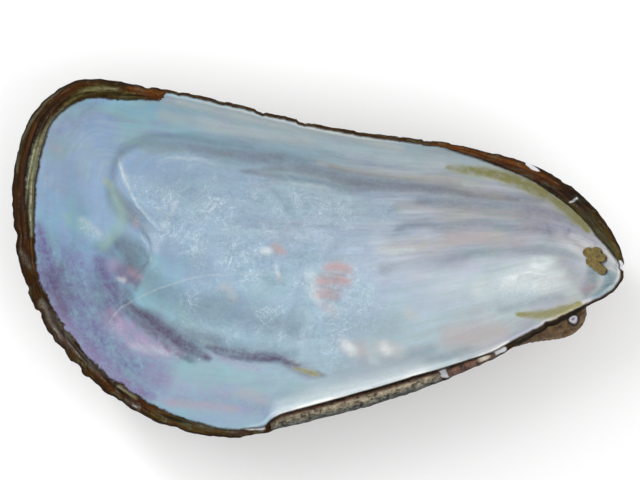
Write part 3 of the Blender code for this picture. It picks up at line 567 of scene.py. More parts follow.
# The crevice between the hinge's pearly edge and the beak, cut into the relief and darkened with painted
# shade.
CREVICE = (
    (57.3, -9.1), (56.0, -10.8), (53.3, -12.5), (49.9, -14.2), (46.7, -15.9), (43.3, -17.6), (40.4, -19.1),
)
CREVICE_WIDTH = 0.6
CREVICE_DEPTH = 1.0
# It tapers over one part in this many at each end, and stops this far outside the rim.
CREVICE_TAPER = 6
CREVICE_OUTERMOST = -1.5

# Uneven surfaces and edges are sums of soft noise: height, feature size and seed of each.
RIM_NOISE = ((0.4, 2.9, 31), (0.7, 1.1, 32))
BORDER_NOISE = ((0.6, 1.9, 41), (0.36, 0.8, 42))
PEARL_NOISE = ((0.09, 6.0, 52), (0.05, 2.2, 53))
HORN_NOISE = ((0.12, 1.3, 54), (0.12, 3.5, 55))
AGES_NOISE = ((0.35, 9.0, 61),)
CRUST_NOISE = ((0.16, 0.9, 91), (0.09, 0.4, 92))
# How far drawn lines wander: reach, feature size and seed.
RELIEF_WANDER = (0.6, 8.0, 51)
BRUSH_WANDER = (0.8, 7.0, 71)
MARK_WANDER = (0.3, 5.0, 81)

# The ragged edge: rims bitten less than this stay as they are, bites reach this far in, and
# outside they fade from one height to the other.
RIM_SPARED = 0.35
BITE_REACH = 2.4
BITES_FADE = (14.0, 22.0)
CHIP_FLATNESS = 1.15
# Relief starts this far inside the horny margin, over this distance.
RELIEF_CLEARANCE = 0.2
RELIEF_EASE = 2.0
# The horny layers fade towards the rim over this distance.
LAYER_EASE = 0.8
# Fields that are far from a line, and places that are horny all over.
FAR_ASIDE = 9.0
ALL_HORNY = 5.0

# Heights across the layered horny margin: share of its width in from the rim, and height.
LAYERS = (
    (0.0, 0.0), (0.1, 0.14), (0.2, -0.1), (0.34, -0.34), (0.48, -0.12), (0.62, 0.26),
    (0.8, 0.3), (0.92, 0.06), (1.0, -0.28), (1.1, -0.06), (1.3, 0.0),
)
# How boldly the margin is layered: x, y of the rim and the share of the heights above.
LAYERED = (
    (65.0, -2.8, 0.3),
    (57.8, 11.4, 0.6),
    (42.9, 20.4, 0.5),
    (26.0, 24.4, 0.1),
    (-20.7, 33.1, 0.1),
    (-41.9, 37.2, 0.6),
    (-61.0, 29.3, 1.0),
    (-63.5, -0.6, 0.9),
    (-54.6, -18.9, 0.5),
    (-37.6, -33.0, 0.3),
    (-12.0, -37.5, 0.05),
    (21.7, -28.2, 0.0),
    (56.1, -10.9, 0.0),
)

# Growth lines of the outside: how many, how high, and the point they grow out from.
GROWTH_LINES = 34
GROWTH_FROM = np.array((55.0, -15.0, 17.0))
FINER_LINES = 3.3
LINES_FADE_BELOW = 2.5
LINES_FADE_AT_BEAK = 9.0
MIDDLE_HEIGHT = 16.0
# The spot of the beak that is worn down to the shell, and how far it reaches.
WORN_SPOT = np.array((54.3, -13.2))
WORN_REACH = 1.7
# Marks of the beak's upper side lie above this height.
BEAK_TOP = 20.5

# Meshes of the torn ligament and of the muscle crust.
HINGE_SIDE = -8.0
STRIP_ENDS = (-9.6, 26.6)
FRAGMENT_ENDS = (28.0, 37.9)
LIGAMENT_GAP = 0.32
LIGAMENT_CROWN = 0.35
LIGAMENT_SEAM = 0.12
# The lip beside the ligament is drawn this much wider, over part of the seam.
HINGE_LIP_WIDENING = 0.45
TORN_HEIGHT = 0.45
TORN_WIDTH = 0.84
TAPER_LENGTH = 3.0
SECTION_SQUARENESS = 0.8
# Its fibres and lumps, in millimetres or as shares of its size, and their seeds after its own.
FIBRE_SHAPE = (0.22, 3.0)
FIBRE_HEIGHT = 0.10
FIBRES_SINK = 0.06
LUMPS_ASIDE = 0.05
LUMPS_DOWN = 0.07
TORN_REACH = 0.35
ARCH_LENGTH = 2.2
LIGAMENT_STEP = 0.16
ARCH_POINTS = 26
BASE_POINTS = 5
MUSCLE_LOBES = (
    (58.3, 1.0, 1.1),
    (59.8, 1.0, 1.2),
    (60.9, -0.2, 1.0),
    (59.2, -1.0, 1.35),
    (60.0, -2.2, 1.0),
    (60.9, -2.9, 1.05),
)
MUSCLE_THICKNESS = 0.55
MUSCLE_EDGE = 0.35
MUSCLE_GAP = 0.32
MUSCLE_NARROWEST = 0.6
MUSCLE_POINTS = 180
MUSCLE_RINGS = 22

# The camera's place in metres, its lens and sensor in millimetres. A light has its azimuth
# and elevation in degrees, its distance, and its size.
CAMERA_HEIGHT = 1.225
CAMERA_AT = (0.00053, 0.0036)
CAMERA_LENS = 318.0
CAMERA_SENSOR = 36.0
CAMERA_CLIP = 0.1
LIGHTS_AIM = (0.0, 0.0, 0.02)
LIGHTS = (
    ("key", (137, 46, 1.2), 0.8),
    ("gleam", (130, 34, 1.1), 0.16),
    ("fill", (-30, 50, 1.3), 0.9),
)

# Colours that aren't in the settings.
WARM_STREAK = (0.50, 0.46, 0.41)
FROST_WHITE = (0.60, 0.71, 0.78)
FROST_GREY = (0.20, 0.29, 0.37)
THIN_FILM = (0.46, 0.45, 0.27)
THICK_FILM = (0.29, 0.27, 0.10)
BORDER_BROWN = (0.03, 0.02, 0.012)
CREVICE_SHADE = (0.012, 0.010, 0.008)
OLIVE_SCALE = (0.115, 0.11, 0.065)
RED_SCALE = (0.055, 0.014, 0.007)
CRACK_BLACK = (0.006, 0.004, 0.003)
EDGE_BLACK = (0.010, 0.007, 0.005)
PAINTED_HORN_GLINT = (0.60, 0.60, 0.50)
CHALK = (0.62, 0.63, 0.66)
PAUSE_BLACK = (0.010, 0.006, 0.004)
SPECK_BLACK = (0.012, 0.008, 0.006)
BARE_BEAK = (0.18, 0.115, 0.06)
RING_BLACK = (0.015, 0.01, 0.012)
BARE_SHELL = (0.55, 0.55, 0.60)
WORN_VIOLET = (0.20, 0.15, 0.25)
FRAGMENT_RED = (0.10, 0.035, 0.025)
RUST = (0.13, 0.05, 0.025)
PALE_FLECK = (0.42, 0.38, 0.30)
PALE_END = (0.55, 0.52, 0.42)
TORN_BROWN = (0.10, 0.07, 0.05)
CRUST_PIT = (0.025, 0.016, 0.006)

LATTICE = 128
CHUNK = 4000
LINE_STEPS = 4
# Brushed tints fade out over more than their written half width.
BRUSH_SPREAD = 1.5


def smoothstep(value):
    value = np.clip(value, 0, 1)
    return value * value * (3 - 2 * value)


def catmull(before, here, after, beyond, share):
    """Catmull-Rom curve from one point to the next."""
    return here + 0.5 * share * (
        (after - before)
        + share * (2 * before - 5 * here + 4 * after - beyond)
        + share**2 * (3 * (here - after) + beyond - before)
    )


def smooth_loop(stations, per_span):
    """A curve through the closed stations in x and y; the other columns run straight."""
    table = np.array(stations)
    share = np.arange(per_span)[:, None] / per_span
    spans = []
    for i in range(len(table)):
        before, here, after, beyond = (table[(i + k) % len(table)] for k in (-1, 0, 1, 2))
        curve = catmull(before, here, after, beyond, share)
        straight = here + share * (after - here)
        spans.append(np.hstack((curve[:, :2], straight[:, 2:])))
    return np.vstack(spans)


def smooth_line(points, steps=LINE_STEPS):
    """A curve through open points, every column smoothed."""
    table = np.array(points, dtype=float)
    table = np.vstack((2 * table[0] - table[1], table, 2 * table[-1] - table[-2]))
    share = np.arange(steps)[:, None] / steps
    spans = [catmull(*table[i : i + 4], share) for i in range(len(table) - 3)]
    return np.vstack(spans + [table[-2:-1]])


def outward_normals(loop):
    """Unit normals of a closed plan curve that runs anticlockwise."""
    along = np.roll(loop, -1, axis=0) - np.roll(loop, 1, axis=0)
    normal = np.stack((along[:, 1], -along[:, 0]), axis=1)
    return normal / np.linalg.norm(normal, axis=1, keepdims=True)


def soft_noise(points, size, seed):
    """Smooth random values from -1 to 1 over plan points, with features of this size."""
    lattice = np.random.default_rng(seed).uniform(-1, 1, (LATTICE, LATTICE))
    at = points / size
    cell = np.floor(at).astype(int)
    x, y = smoothstep(at - cell).T
    left, low = (cell % LATTICE).T
    right, high = ((cell + 1) % LATTICE).T
    lower = lattice[left, low] * (1 - x) + lattice[right, low] * x
    upper = lattice[left, high] * (1 - x) + lattice[right, high] * x
    return lower * (1 - y) + upper * y


def summed_noise(points, layers):
    """Sum of soft noises, each given by its height, feature size and seed."""
    return sum(height * soft_noise(points, size, seed) for height, size, seed in layers)


def wandered(points, reach, size, seed):
    """Plan points moved a little at random, so that painted edges aren't drawn with a ruler."""
    moves = [soft_noise(points, size, seed + k) + 0.15 * soft_noise(points, size / 5, seed + 7 + k)
             for k in (0, 1)]
    return points + reach * np.stack(moves, axis=1)


def nearness(points, line, spread=1.0):
    """1 on a soft line of (x, y, half width) points, falling to 0 at its spread half width."""
    line = smooth_line(line) * (1, 1, spread)
    reach = line[:, 2].max()
    over, under = line[:, :2].max(axis=0) + reach, line[:, :2].min(axis=0) - reach
    close = np.flatnonzero(np.all((points > under) & (points < over), axis=1))
    near = np.zeros(len(close))
    for start, end in zip(line, line[1:]):
        span = (end - start)[:2]
        share = np.clip((points[close] - start[:2]) @ span / (span @ span), 0, 1)[:, None]
        at = start + share * (end - start)
        near = np.maximum(near, 1 - np.linalg.norm(points[close] - at[:, :2], axis=1) / at[:, 2])
    found = np.zeros(len(points))
    found[close] = smoothstep(near)
    return found


def painted(points, strokes):
    """The strongest of several soft strokes at each point."""
    return np.max([strength * nearness(points, line, BRUSH_SPREAD) for strength, line in strokes], axis=0)


def beside_line(points, line):
    """Signed distance from a thin line, and the position along it, 0 to 1 between its ends."""
    line = smooth_line(line)
    step = np.linalg.norm(np.diff(line, axis=0), axis=1)
    passed = np.concatenate(((0.0,), np.cumsum(step)))
    best = np.full(len(points), np.inf)
    aside, along = np.full(len(points), FAR_ASIDE), np.full(len(points), -FAR_ASIDE)
    for k, (start, end) in enumerate(zip(line, line[1:])):
        forward = (end - start) / step[k]
        share = (points - start) @ forward / step[k]
        held = np.clip(share, 0, 1)[:, None]
        away = np.linalg.norm(points - start - held * (end - start), axis=1)
        nearer = away < best
        best[nearer] = away[nearer]
        aside[nearer] = ((points - start) @ (-forward[1], forward[0]))[nearer]
        low = -np.inf if k == 0 else 0
        high = np.inf if k == len(step) - 1 else 1
        along[nearer] = ((passed[k] + step[k] * np.clip(share, low, high)) / passed[-1])[nearer]
    return aside, along


class Face:
    """One face of the bowl: its depth over any point of the plan, nothing at the rim.

    A cross-section from the hinge rim to the belly rim is a flattened arch, and the depth
    of its middle runs along the shell as a longer arch, blunt in front and drawn out behind.
    """

    def __init__(self, loop):
        upper, lower = loop[loop[:, 1] >= self.split(loop)], loop[loop[:, 1] < self.split(loop)]
        self.upper = upper[np.argsort(upper[:, 0])]
        self.lower = lower[np.argsort(lower[:, 0])]
        self.back, self.front = loop[:, 0].min(), loop[:, 0].max()

    @staticmethod
    def split(loop):
        """Height of the line that parts the belly rim from the hinge rim, end to end."""
        back, front = loop[np.argmin(loop[:, 0])], loop[np.argmax(loop[:, 0])]
        share = (loop[:, 0] - back[0]) / (front[0] - back[0])
        return back[1] + share * (front[1] - back[1])

    def rims(self, x):
        high = np.interp(x, self.upper[:, 0], self.upper[:, 1])
        low = np.interp(x, self.lower[:, 0], self.lower[:, 1])
        return high, low

    def share(self, points):
        """Depth as a share of the deepest, from 0 at the rim to 1 at the bottom."""
        x = points[:, 0]
        inside = np.clip(x, self.back + END_MARGIN, self.front - END_MARGIN)
        ahead = np.clip((inside - DEEPEST[0]) / (self.front - DEEPEST[0]), 0, 1)
        behind = np.clip((DEEPEST[0] - inside) / (DEEPEST[0] - self.back), 0, 1)
        spine = 1 - ahead**FRONT_BLUNTNESS - behind**BACK_BLUNTNESS
        high, low = self.rims(inside)
        scale = spine / ((high - low) / 2) ** 2
        high, low = self.rims(x)
        product = np.clip(high - points[:, 1], 0, None) * np.clip(points[:, 1] - low, 0, None)
        arch = (
            MIDDLE_ARCH
            + (FRONT_ARCH - MIDDLE_ARCH) * smoothstep(ahead)
            + (BACK_ARCH - MIDDLE_ARCH) * smoothstep(behind)
        )
        return np.clip(scale * product, 0, 1) ** arch


def direction(points):
    """Direction of plan points from the deepest point."""
    away = points - DEEPEST
    return np.arctan2(away[:, 1], away[:, 0])


class Bowl:
    """Heights of the valve's outer and inner faces over any point of its plan."""

    def __init__(self):
        self.loop = smooth_loop(RIM, 24)
        plan = self.loop[:, :2]
        self.outside = Face(plan)
        self.inside = Face(plan - outward_normals(plan) * PLAIN_WALL)
        angle = direction(plan)
        order = np.argsort(angle)
        self.angle, self.ledge = angle[order], self.loop[order, 3]

    def outer(self, points):
        share = self.outside.share(points)
        edge = rim_level(points) - EDGE_DROP
        ledge = np.interp(direction(points), self.angle, self.ledge, period=2 * math.pi)
        ledge *= 1 - smoothstep(share / LEDGE_EASE)
        return np.maximum(edge - ledge - (edge + WORN_OFF) * share, 0.0)

    def inner(self, points):
        edge = rim_level(points) - INNER_DROP
        plain = edge - (edge + WORN_OFF - WALL_AT_BOTTOM) * self.inside.share(points)
        for x, y, radius, height in SOLID_RELIEF:
            away = np.linalg.norm(points - (x, y), axis=1) / radius
            plain += height * smoothstep(1 - away)
        return plain

    def inner_normal(self, points):
        """Unit normals of the inner face, pointing into the hollow."""
        slopes = [
            (self.inner(points + step) - self.inner(points - step)) / (2 * SLOPE_STEP)
            for step in ((SLOPE_STEP, 0.0), (0.0, SLOPE_STEP))
        ]
        normal = np.column_stack((-slopes[0], -slopes[1], np.ones(len(points))))
        return normal / np.linalg.norm(normal, axis=1, keepdims=True)


def rim_level(points):
    """Height of the rim over plan points: it rises to the front and dips at the byssus gape."""
    x, y = points[:, 0], points[:, 1]
    gape = np.exp(-(((x - GAPE_CENTRE) / GAPE_REACH) ** 2)) * smoothstep(y / GAPE_SIDE)
    return RIM_HEIGHT + FRONT_RISE * x / FRONT_TIP - GAPE_DIP * gape


def beak_swelling(points, drop):
    """How far the outer face stands out at the beak, at plan points this far below the rim."""
    below = np.clip(drop - BEAK_FULLEST, 0, None)
    along = (points - BEAK_FRONT) @ BEAK_BACKWARDS - BEAK_DRAW_BACK * below**2
    front = np.sqrt(1 - np.clip(1 - along / BEAK_NOSE, 0, 1) ** 2)
    back = smoothstep((1 - along / BEAK_LENGTH) / (1 - BEAK_FULL_SHARE))
    height = smoothstep(drop / BEAK_FULLEST) * smoothstep(1 - below / (BEAK_FADED - BEAK_FULLEST))
    reach = smoothstep(1 - np.abs((points - BEAK_FRONT) @ BEAK_OUTWARDS) / BEAK_LENGTH)
    return BEAK_SWELL * front * back * height * reach


def spaced_round(loop):
    """The loop resampled to AROUND rows, a little closer together towards the beak."""
    closed = np.vstack((loop, loop[:1]))
    step = np.linalg.norm(np.diff(closed[:, :2], axis=0), axis=1)
    near = np.exp(-((np.linalg.norm(loop[:, :2] - BEAK_FRONT, axis=1) / BEAK_REACH) ** 2))
    travelled = np.concatenate(((0.0,), np.cumsum(step * (1 + BEAK_DENSITY * near))))
    wanted = np.arange(AROUND) * travelled[-1] / AROUND
    return np.stack([np.interp(wanted, travelled, column) for column in closed.T], axis=1)


class Rim:
    """Where plan points lie from the rim, and what varies round it."""

    def __init__(self, bowl):
        self.plan = bowl.loop[:, :2]
        self.normals = outward_normals(self.plan)

    def locate(self, points):
        """Row of the nearest rim point, and how far inside the rim each point lies."""
        rows = np.empty(len(points), dtype=int)
        for start in range(0, len(points), CHUNK):
            part = points[start : start + CHUNK, None]
            rows[start : start + CHUNK] = np.argmin(((part - self.plan) ** 2).sum(axis=2), axis=1)
        inward = ((self.plan[rows] - points) * self.normals[rows]).sum(axis=1)
        return rows, inward

    def spread(self, table, column=2):
        """A column of a table of rim points, spread round the whole rim."""
        table = np.array(table)
        rows = self.locate(table[:, :2])[0]
        order = np.argsort(rows)
        every = np.arange(len(self.plan))
        return np.interp(every, rows[order], table[order, column], period=len(self.plan))

    def bites(self):
        """How far the ragged, chipped edge lies inside the smooth rim, all round."""
        loss = self.spread(RAGGED) * (summed_noise(self.plan, RIM_NOISE) - RIM_SPARED)
        for x, y, width, depth in CHIPS:
            away = np.linalg.norm(self.plan - (x, y), axis=1) / width
            loss = loss + depth * smoothstep(CHIP_FLATNESS - away)
        return loss


def grid_normals(grid, middle):
    """Unit normals of a grid of rings that close on themselves, pointing away from a point."""
    around = np.roll(grid, -1, axis=1) - np.roll(grid, 1, axis=1)
    across = np.gradient(grid, axis=0)
    normal = np.cross(around, across)
    normal /= np.maximum(np.linalg.norm(normal, axis=2, keepdims=True), 1e-9)
    turned = np.sign(((grid - middle) * normal).sum(axis=2, keepdims=True))
    return normal * turned


def ring_mesh(name, grid, first_cap, last_cap, fields):
    """A closed body through rings of points, capped by a fan at each end, with its fields."""
    rings, count = grid.shape[:2]
    points = np.vstack((grid.reshape(-1, 3), first_cap, last_cap)) * MM
    i = np.arange(count)
    j = (i + 1) % count
    faces = []
    for ring in range(rings - 1):
        low, high = ring * count, (ring + 1) * count
        faces += np.stack((low + i, low + j, high + j, high + i), axis=1).tolist()
    first, last = rings * count, rings * count + 1
    end = (rings - 1) * count
    faces += np.stack((j, i, np.full(count, first)), axis=1).tolist()
    faces += np.stack((end + i, end + j, np.full(count, last)), axis=1).tolist()
    data = bpy.data.meshes.new(name)
    data.from_pydata(points.tolist(), [], faces)
    data.shade_smooth()
    for field, values in fields.items():
        values = np.asarray(values, dtype=float)
        flat = values.reshape(rings * count, -1)
        caps = np.stack((flat[:count].mean(axis=0), flat[-count:].mean(axis=0)))
        flat = np.vstack((flat, caps))
        if flat.shape[1] == 1:
            data.attributes.new(field, "FLOAT", "POINT").data.foreach_set("value", flat[:, 0])
        else:
            flat = np.hstack((flat, np.zeros((len(flat), 3 - flat.shape[1]))))
            data.attributes.new(field, "FLOAT_VECTOR", "POINT").data.foreach_set("vector", flat.ravel())
    obj = bpy.data.objects.new(name, data)
    bpy.context.scene.collection.objects.link(obj)
    return obj


def valve_grid(bowl):
    """Rings of the valve from the middle of the hollow over the rim to the underside.

    Returns the grid of points and how many rings are the lip.
    """
    stations = spaced_round(bowl.loop)
    plan, wall, ledge = stations[:, :2], stations[:, 2], stations[:, 3]
    rim = rim_level(plan)
    normals = outward_normals(plan)
    inner_edge = plan - normals * wall[:, None]
    lift = rim - INNER_DROP - bowl.inner(inner_edge)
    rings = []
    for share in 1 - (1 - np.arange(1, INNER_RINGS + 1) / (INNER_RINGS + 1)) ** INNER_CROWDING:
        at = DEEPEST + share * (inner_edge - DEEPEST)
        eased = lift * smoothstep((share - 1) / LIP_EASE + 1)
        rings.append(np.column_stack((at, bowl.inner(at) + eased)))
    corners = np.array(LIP_SECTION)
    steps = np.arange((len(corners) - 1) * LIP_STEPS + 1) / LIP_STEPS
    lip = 1 + HINGE_LIP_WIDENING * smoothstep(wall - 2)
    for wall_share, nudge, ledge_share, drop in np.stack(
        [np.interp(steps, np.arange(len(corners)), column) for column in corners.T], axis=1
    ):
        at = plan - normals * (wall_share * wall + nudge * lip)[:, None]
        rings.append(np.column_stack((at, rim - ledge_share * ledge - drop)))
    for share in 1 - (np.arange(1, OUTER_RINGS + 1) / (OUTER_RINGS + 1)) ** OUTER_CROWDING:
        at = DEEPEST + share * (plan - DEEPEST)
        height = bowl.outer(at)
        at = at + BEAK_OUTWARDS * beak_swelling(at, rim_level(at) - height)[:, None]
        rings.append(np.column_stack((at, height)))
    return np.array(rings), len(steps)


def build_valve(settings):
    bowl = Bowl()
    rim = Rim(bowl)
    grid, lip_rings = valve_grid(bowl)
    count = grid.shape[1]
    pearly = INNER_RINGS + lip_rings // 2 + 1
    flat = grid.reshape(-1, 3).copy()
    plan = flat[:, :2].copy()
    outside = np.arange(len(flat)) >= (INNER_RINGS + lip_rings) * count
    upper = np.arange(len(flat)) < pearly * count
    rows, inward = rim.locate(plan)

    band = rim.spread(HORN_MARGIN)[rows]
    on_hinge = smoothstep(rim.spread(RIM)[rows] - 2)
    band = band - HINGE_LIP_WIDENING * LIP_WIDTH * on_hinge
    frayed = rim.spread(RAGGED, 3)[rows]
    margin = band + frayed * summed_noise(plan, BORDER_NOISE) - inward
    margin[outside] = ALL_HORNY
    into = np.clip(inward / band, 0, 3)

    # Relief of the pearly face, then the layers of the horny margin.
    moved = wandered(plan, *RELIEF_WANDER)
    relief = sum(height * nearness(moved, line) for height, line in RELIEF)
    relief += summed_noise(plan, PEARL_NOISE)
    clear = smoothstep((-margin - RELIEF_CLEARANCE) / RELIEF_EASE)
    layer = np.interp(into, *np.array(LAYERS).T) + summed_noise(plan, HORN_NOISE)
    layer *= rim.spread(LAYERED)[rows] * settings.horn_layers
    layer *= smoothstep(inward / LAYER_EASE) * smoothstep(2.5 - into)
    flat[upper, 2] += (clear * relief * settings.relief + layer)[upper]

    # The crevice beside the beak, the ragged edge and its chips.
    on_top = flat[:, 2] > BEAK_TOP
    aside, along = beside_line(plan, CREVICE)
    aside[~on_top] = FAR_ASIDE
    in_crevice = smoothstep(1 - np.abs(aside) / CREVICE_WIDTH)
    in_crevice *= smoothstep(along * CREVICE_TAPER) * smoothstep((1 - along) * CREVICE_TAPER)
    flat[:, 2] -= CREVICE_DEPTH * in_crevice * (inward > CREVICE_OUTERMOST)
    loss = rim.bites()[rows] * (1 - smoothstep(np.abs(inward) / BITE_REACH))
    low, high = BITES_FADE
    loss *= np.where(outside, smoothstep((flat[:, 2] - low) / (high - low)), 1)
    flat[:, :2] -= rim.normals[rows] * loss[:, None]

    # Growth lines of the outside run round the beak and end at the rim.
    from_beak = np.linalg.norm(flat - GROWTH_FROM, axis=1)
    to_rim = np.hypot(np.clip(inward, 0, None), rim_level(plan) - flat[:, 2])
    ages = GROWTH_LINES * from_beak / (from_beak + to_rim) + summed_noise(plan, AGES_NOISE)
    steps = (ages % 1.0) ** 2 + 0.5 * ((ages * FINER_LINES) % 1.0) ** 2
    lines = (steps - 0.5) * settings.growth_line_height / MM * outside
    lines *= smoothstep(flat[:, 2] / LINES_FADE_BELOW) * smoothstep(from_beak / LINES_FADE_AT_BEAK)
    shaped = flat.reshape(grid.shape)
    normals = grid_normals(shaped, (*DEEPEST, MIDDLE_HEIGHT))
    shaped = shaped + normals * lines.reshape(grid.shape[:2])[..., None]
    shaped[..., 2] = np.maximum(shaped[..., 2], 0.0)

    high, low = bowl.outside.rims(plan[:, 0])
    across = (plan[:, 1] - low) / np.maximum(high - low, 1.0)
    fields = {
        "margin": margin,
        "into": into,
        "frayed": frayed,
        "outside": outside.astype(float),
        "ages": ages,
        "flow": np.stack((plan[:, 0], across, inward), axis=1),
        "from_beak": from_beak,
    }
    brush = wandered(plan, *BRUSH_WANDER)
    for name, strokes in (*TINTS.items(), *HORN_TINTS.items()):
        fields[name] = painted(brush, strokes) * ~outside
    worn_away = np.linalg.norm(plan - WORN_SPOT, axis=1) / WORN_REACH
    fields["worn"] = smoothstep(1 - worn_away) * outside * on_top
    near = wandered(plan, *MARK_WANDER)
    for name, line, *_ in THIN_MARKS:
        fields[name] = np.stack(beside_line(near, line), axis=1)
    fields["crevice"] = np.stack((aside, along), axis=1)

    floor = (*DEEPEST, float(shaped[0, :, 2].mean()))
    obj = ring_mesh("shell_valve", shaped, floor, (*DEEPEST, 0.0), fields)
    obj.data.materials.append(shell_material(settings))
    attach(obj, "root")
    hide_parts("valve")


def hinge_stations(bowl, ends, count):
    """Points of the rim on the hinge side, evenly spaced in x between the two ends."""
    hinge = bowl.loop[bowl.loop[:, 1] < HINGE_SIDE]
    hinge = hinge[np.argsort(hinge[:, 0])]
    x = np.linspace(*ends, count)
    return np.stack([np.interp(x, hinge[:, 0], column) for column in hinge.T], axis=1)


def build_ligament(bowl, name, node, ends, seed, settings):
    """A remnant of the torn ligament: a low fibrous strip that lies on the ledge."""
    count = int((ends[1] - ends[0]) / LIGAMENT_STEP)
    stations = hinge_stations(bowl, ends, count)
    plan, wall, ledge = stations[:, :2], stations[:, 2], stations[:, 3]
    along = np.gradient(plan, axis=0)
    along /= np.linalg.norm(along, axis=1, keepdims=True)
    outwards = np.stack((along[:, 1], -along[:, 0]), axis=1)
    level = rim_level(plan)
    from_end = np.minimum(plan[:, 0] - ends[0], ends[1] - plan[:, 0])
    full = smoothstep(from_end / TAPER_LENGTH)
    floor = level - ledge - LEDGE_DROP + LIGAMENT_GAP
    lip = LIP_WIDTH * (1 + HINGE_LIP_WIDENING * smoothstep(wall - 2))
    middle = (lip + LIGAMENT_SEAM - wall) / 2
    half_width = -middle * (TORN_WIDTH + (1 - TORN_WIDTH) * full)
    crown = (level + LIGAMENT_CROWN - floor) * (TORN_HEIGHT + (1 - TORN_HEIGHT) * full)
    rings, fields = [], []
    arch = np.linspace(0, math.pi, ARCH_POINTS)
    base = np.linspace(-1, 1, BASE_POINTS + 2)[1:-1]
    for turn in arch:
        place = np.stack((plan[:, 0], np.full(count, turn * ARCH_LENGTH)), axis=1)
        fibres = soft_noise(place * FIBRE_SHAPE, 0.9, seed) + 0.6 * soft_noise(place, 1.4, seed + 1)
        lumps = soft_noise(place, 3.2, seed + 2)
        rise = abs(math.sin(turn))
        aside = middle + half_width * math.cos(turn) * (1 + LUMPS_ASIDE * lumps)
        height = floor + crown * rise**SECTION_SQUARENESS * (1 - LUMPS_DOWN * (1 + lumps))
        height += rise * (FIBRE_HEIGHT * fibres - FIBRES_SINK) * settings.ligament_fibres
        torn = soft_noise(place * (0.0, 1.0) + (seed, 0), 1.1, seed + 3) * (1 - full)
        at = plan + outwards * aside[:, None] + along * (rise * TORN_REACH * torn)[:, None]
        rings.append(np.column_stack((at, height)))
        fields.append(np.column_stack((plan[:, 0], np.full(count, (1 - math.cos(turn)) / 2), from_end)))
    for side in base:
        aside = middle + half_width * side
        rings.append(np.column_stack((plan + outwards * aside[:, None], floor)))
        fields.append(np.column_stack((plan[:, 0], np.full(count, (1 - side) / 2), from_end)))
    grid = np.array(rings).transpose(1, 0, 2)
    where = np.array(fields).transpose(1, 0, 2).reshape(-1, 3)
    obj = ring_mesh(name, grid, grid[0].mean(axis=0), grid[-1].mean(axis=0), {"where": where})
    obj.data.materials.append(ligament_material(settings))
    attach(obj, "root")
    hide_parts(node)


def lobed_outline(lobes, count):
    """The outer edge of overlapping round lobes, as seen from their common middle."""
    table = np.array(lobes)
    middle = table[:, :2].mean(axis=0)
    angles = np.arange(count) * 2 * math.pi / count
    reach = []
    for angle in angles:
        ray = np.array((math.cos(angle), math.sin(angle)))
        ahead = (table[:, :2] - middle) @ ray
        aside = np.linalg.norm(table[:, :2] - middle, axis=1) ** 2 - ahead**2
        inside = table[:, 2] ** 2 - aside
        far = ahead[inside > 0] + np.sqrt(inside[inside > 0])
        reach.append(max(far.max() if len(far) else 0.0, MUSCLE_NARROWEST))
    reach = np.array(reach)
    edge = middle + reach[:, None] * np.stack((np.cos(angles), np.sin(angles)), axis=1)
    return middle, edge


def build_muscle(bowl, settings):
    """The dried crust of the front muscle, which follows the bowl a hair off it."""
    middle, edge = lobed_outline(MUSCLE_LOBES, MUSCLE_POINTS)

    def lifted(at, height):
        """Points this far off the inner face over plan points."""
        return np.column_stack((at, bowl.inner(at))) + bowl.inner_normal(at) * height

    under, over = [], []
    for share in np.sin(np.linspace(0.02, 1, MUSCLE_RINGS) * math.pi / 2):
        at = middle + share * (edge - middle)
        domed = MUSCLE_THICKNESS * (MUSCLE_EDGE + (1 - MUSCLE_EDGE) * math.sqrt(1 - share**2))
        rough = summed_noise(at, CRUST_NOISE)
        under.append(lifted(at, np.full((len(at), 1), MUSCLE_GAP)))
        over.append(lifted(at, (MUSCLE_GAP + domed + rough * settings.crust_roughness)[:, None]))
    grid = np.array(under + over[::-1])
    below, above = grid[0].mean(axis=0), grid[-1].mean(axis=0)
    obj = ring_mesh("dried_muscle", grid, below, above, {})
    obj.data.materials.append(muscle_material(settings))
    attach(obj, "root")
    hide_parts("muscle_remnant")


class Signal:
    """A socket that gives a number, a vector or a colour; arithmetic on it adds Math nodes."""

    def __init__(self, paint, socket):
        self.paint, self.socket = paint, socket

    def math(self, operation, *others):
        inputs = dict(enumerate((self, *others)))
        return self.paint.add("ShaderNodeMath", {"operation": operation}, inputs)

    def __add__(self, other):
        return self.math("ADD", other)

    __radd__ = __add__

    def __sub__(self, other):
        return self.math("SUBTRACT", other)

    def __rsub__(self, other):
        return self.paint.add("ShaderNodeMath", {"operation": "SUBTRACT"}, {0: other, 1: self})

    def __mul__(self, other):
        return self.math("MULTIPLY", other)

    __rmul__ = __mul__

    def __abs__(self):
        return self.math("ABSOLUTE")

    def __pow__(self, other):
        return self.math("POWER", other)

    def cosine(self):
        return self.math("COSINE")

    def fraction(self):
        return self.math("FRACT")

    def clamped(self):
        return self.math("MAXIMUM", 0.0).math("MINIMUM", 1.0)

    def larger(self, other):
        return self.math("MAXIMUM", other)

    def rise(self, start, end):
        """0 before start, 1 after end, and a smooth rise between; end may lie before start."""
        return self.paint.add(
            "ShaderNodeMapRange", {"interpolation_type": "SMOOTHSTEP"}, {0: self, 1: start, 2: end}
        )

    def parts(self):
        """The three numbers of a vector."""
        return [self.paint.add("ShaderNodeSeparateXYZ", {}, {0: self}, output) for output in range(3)]


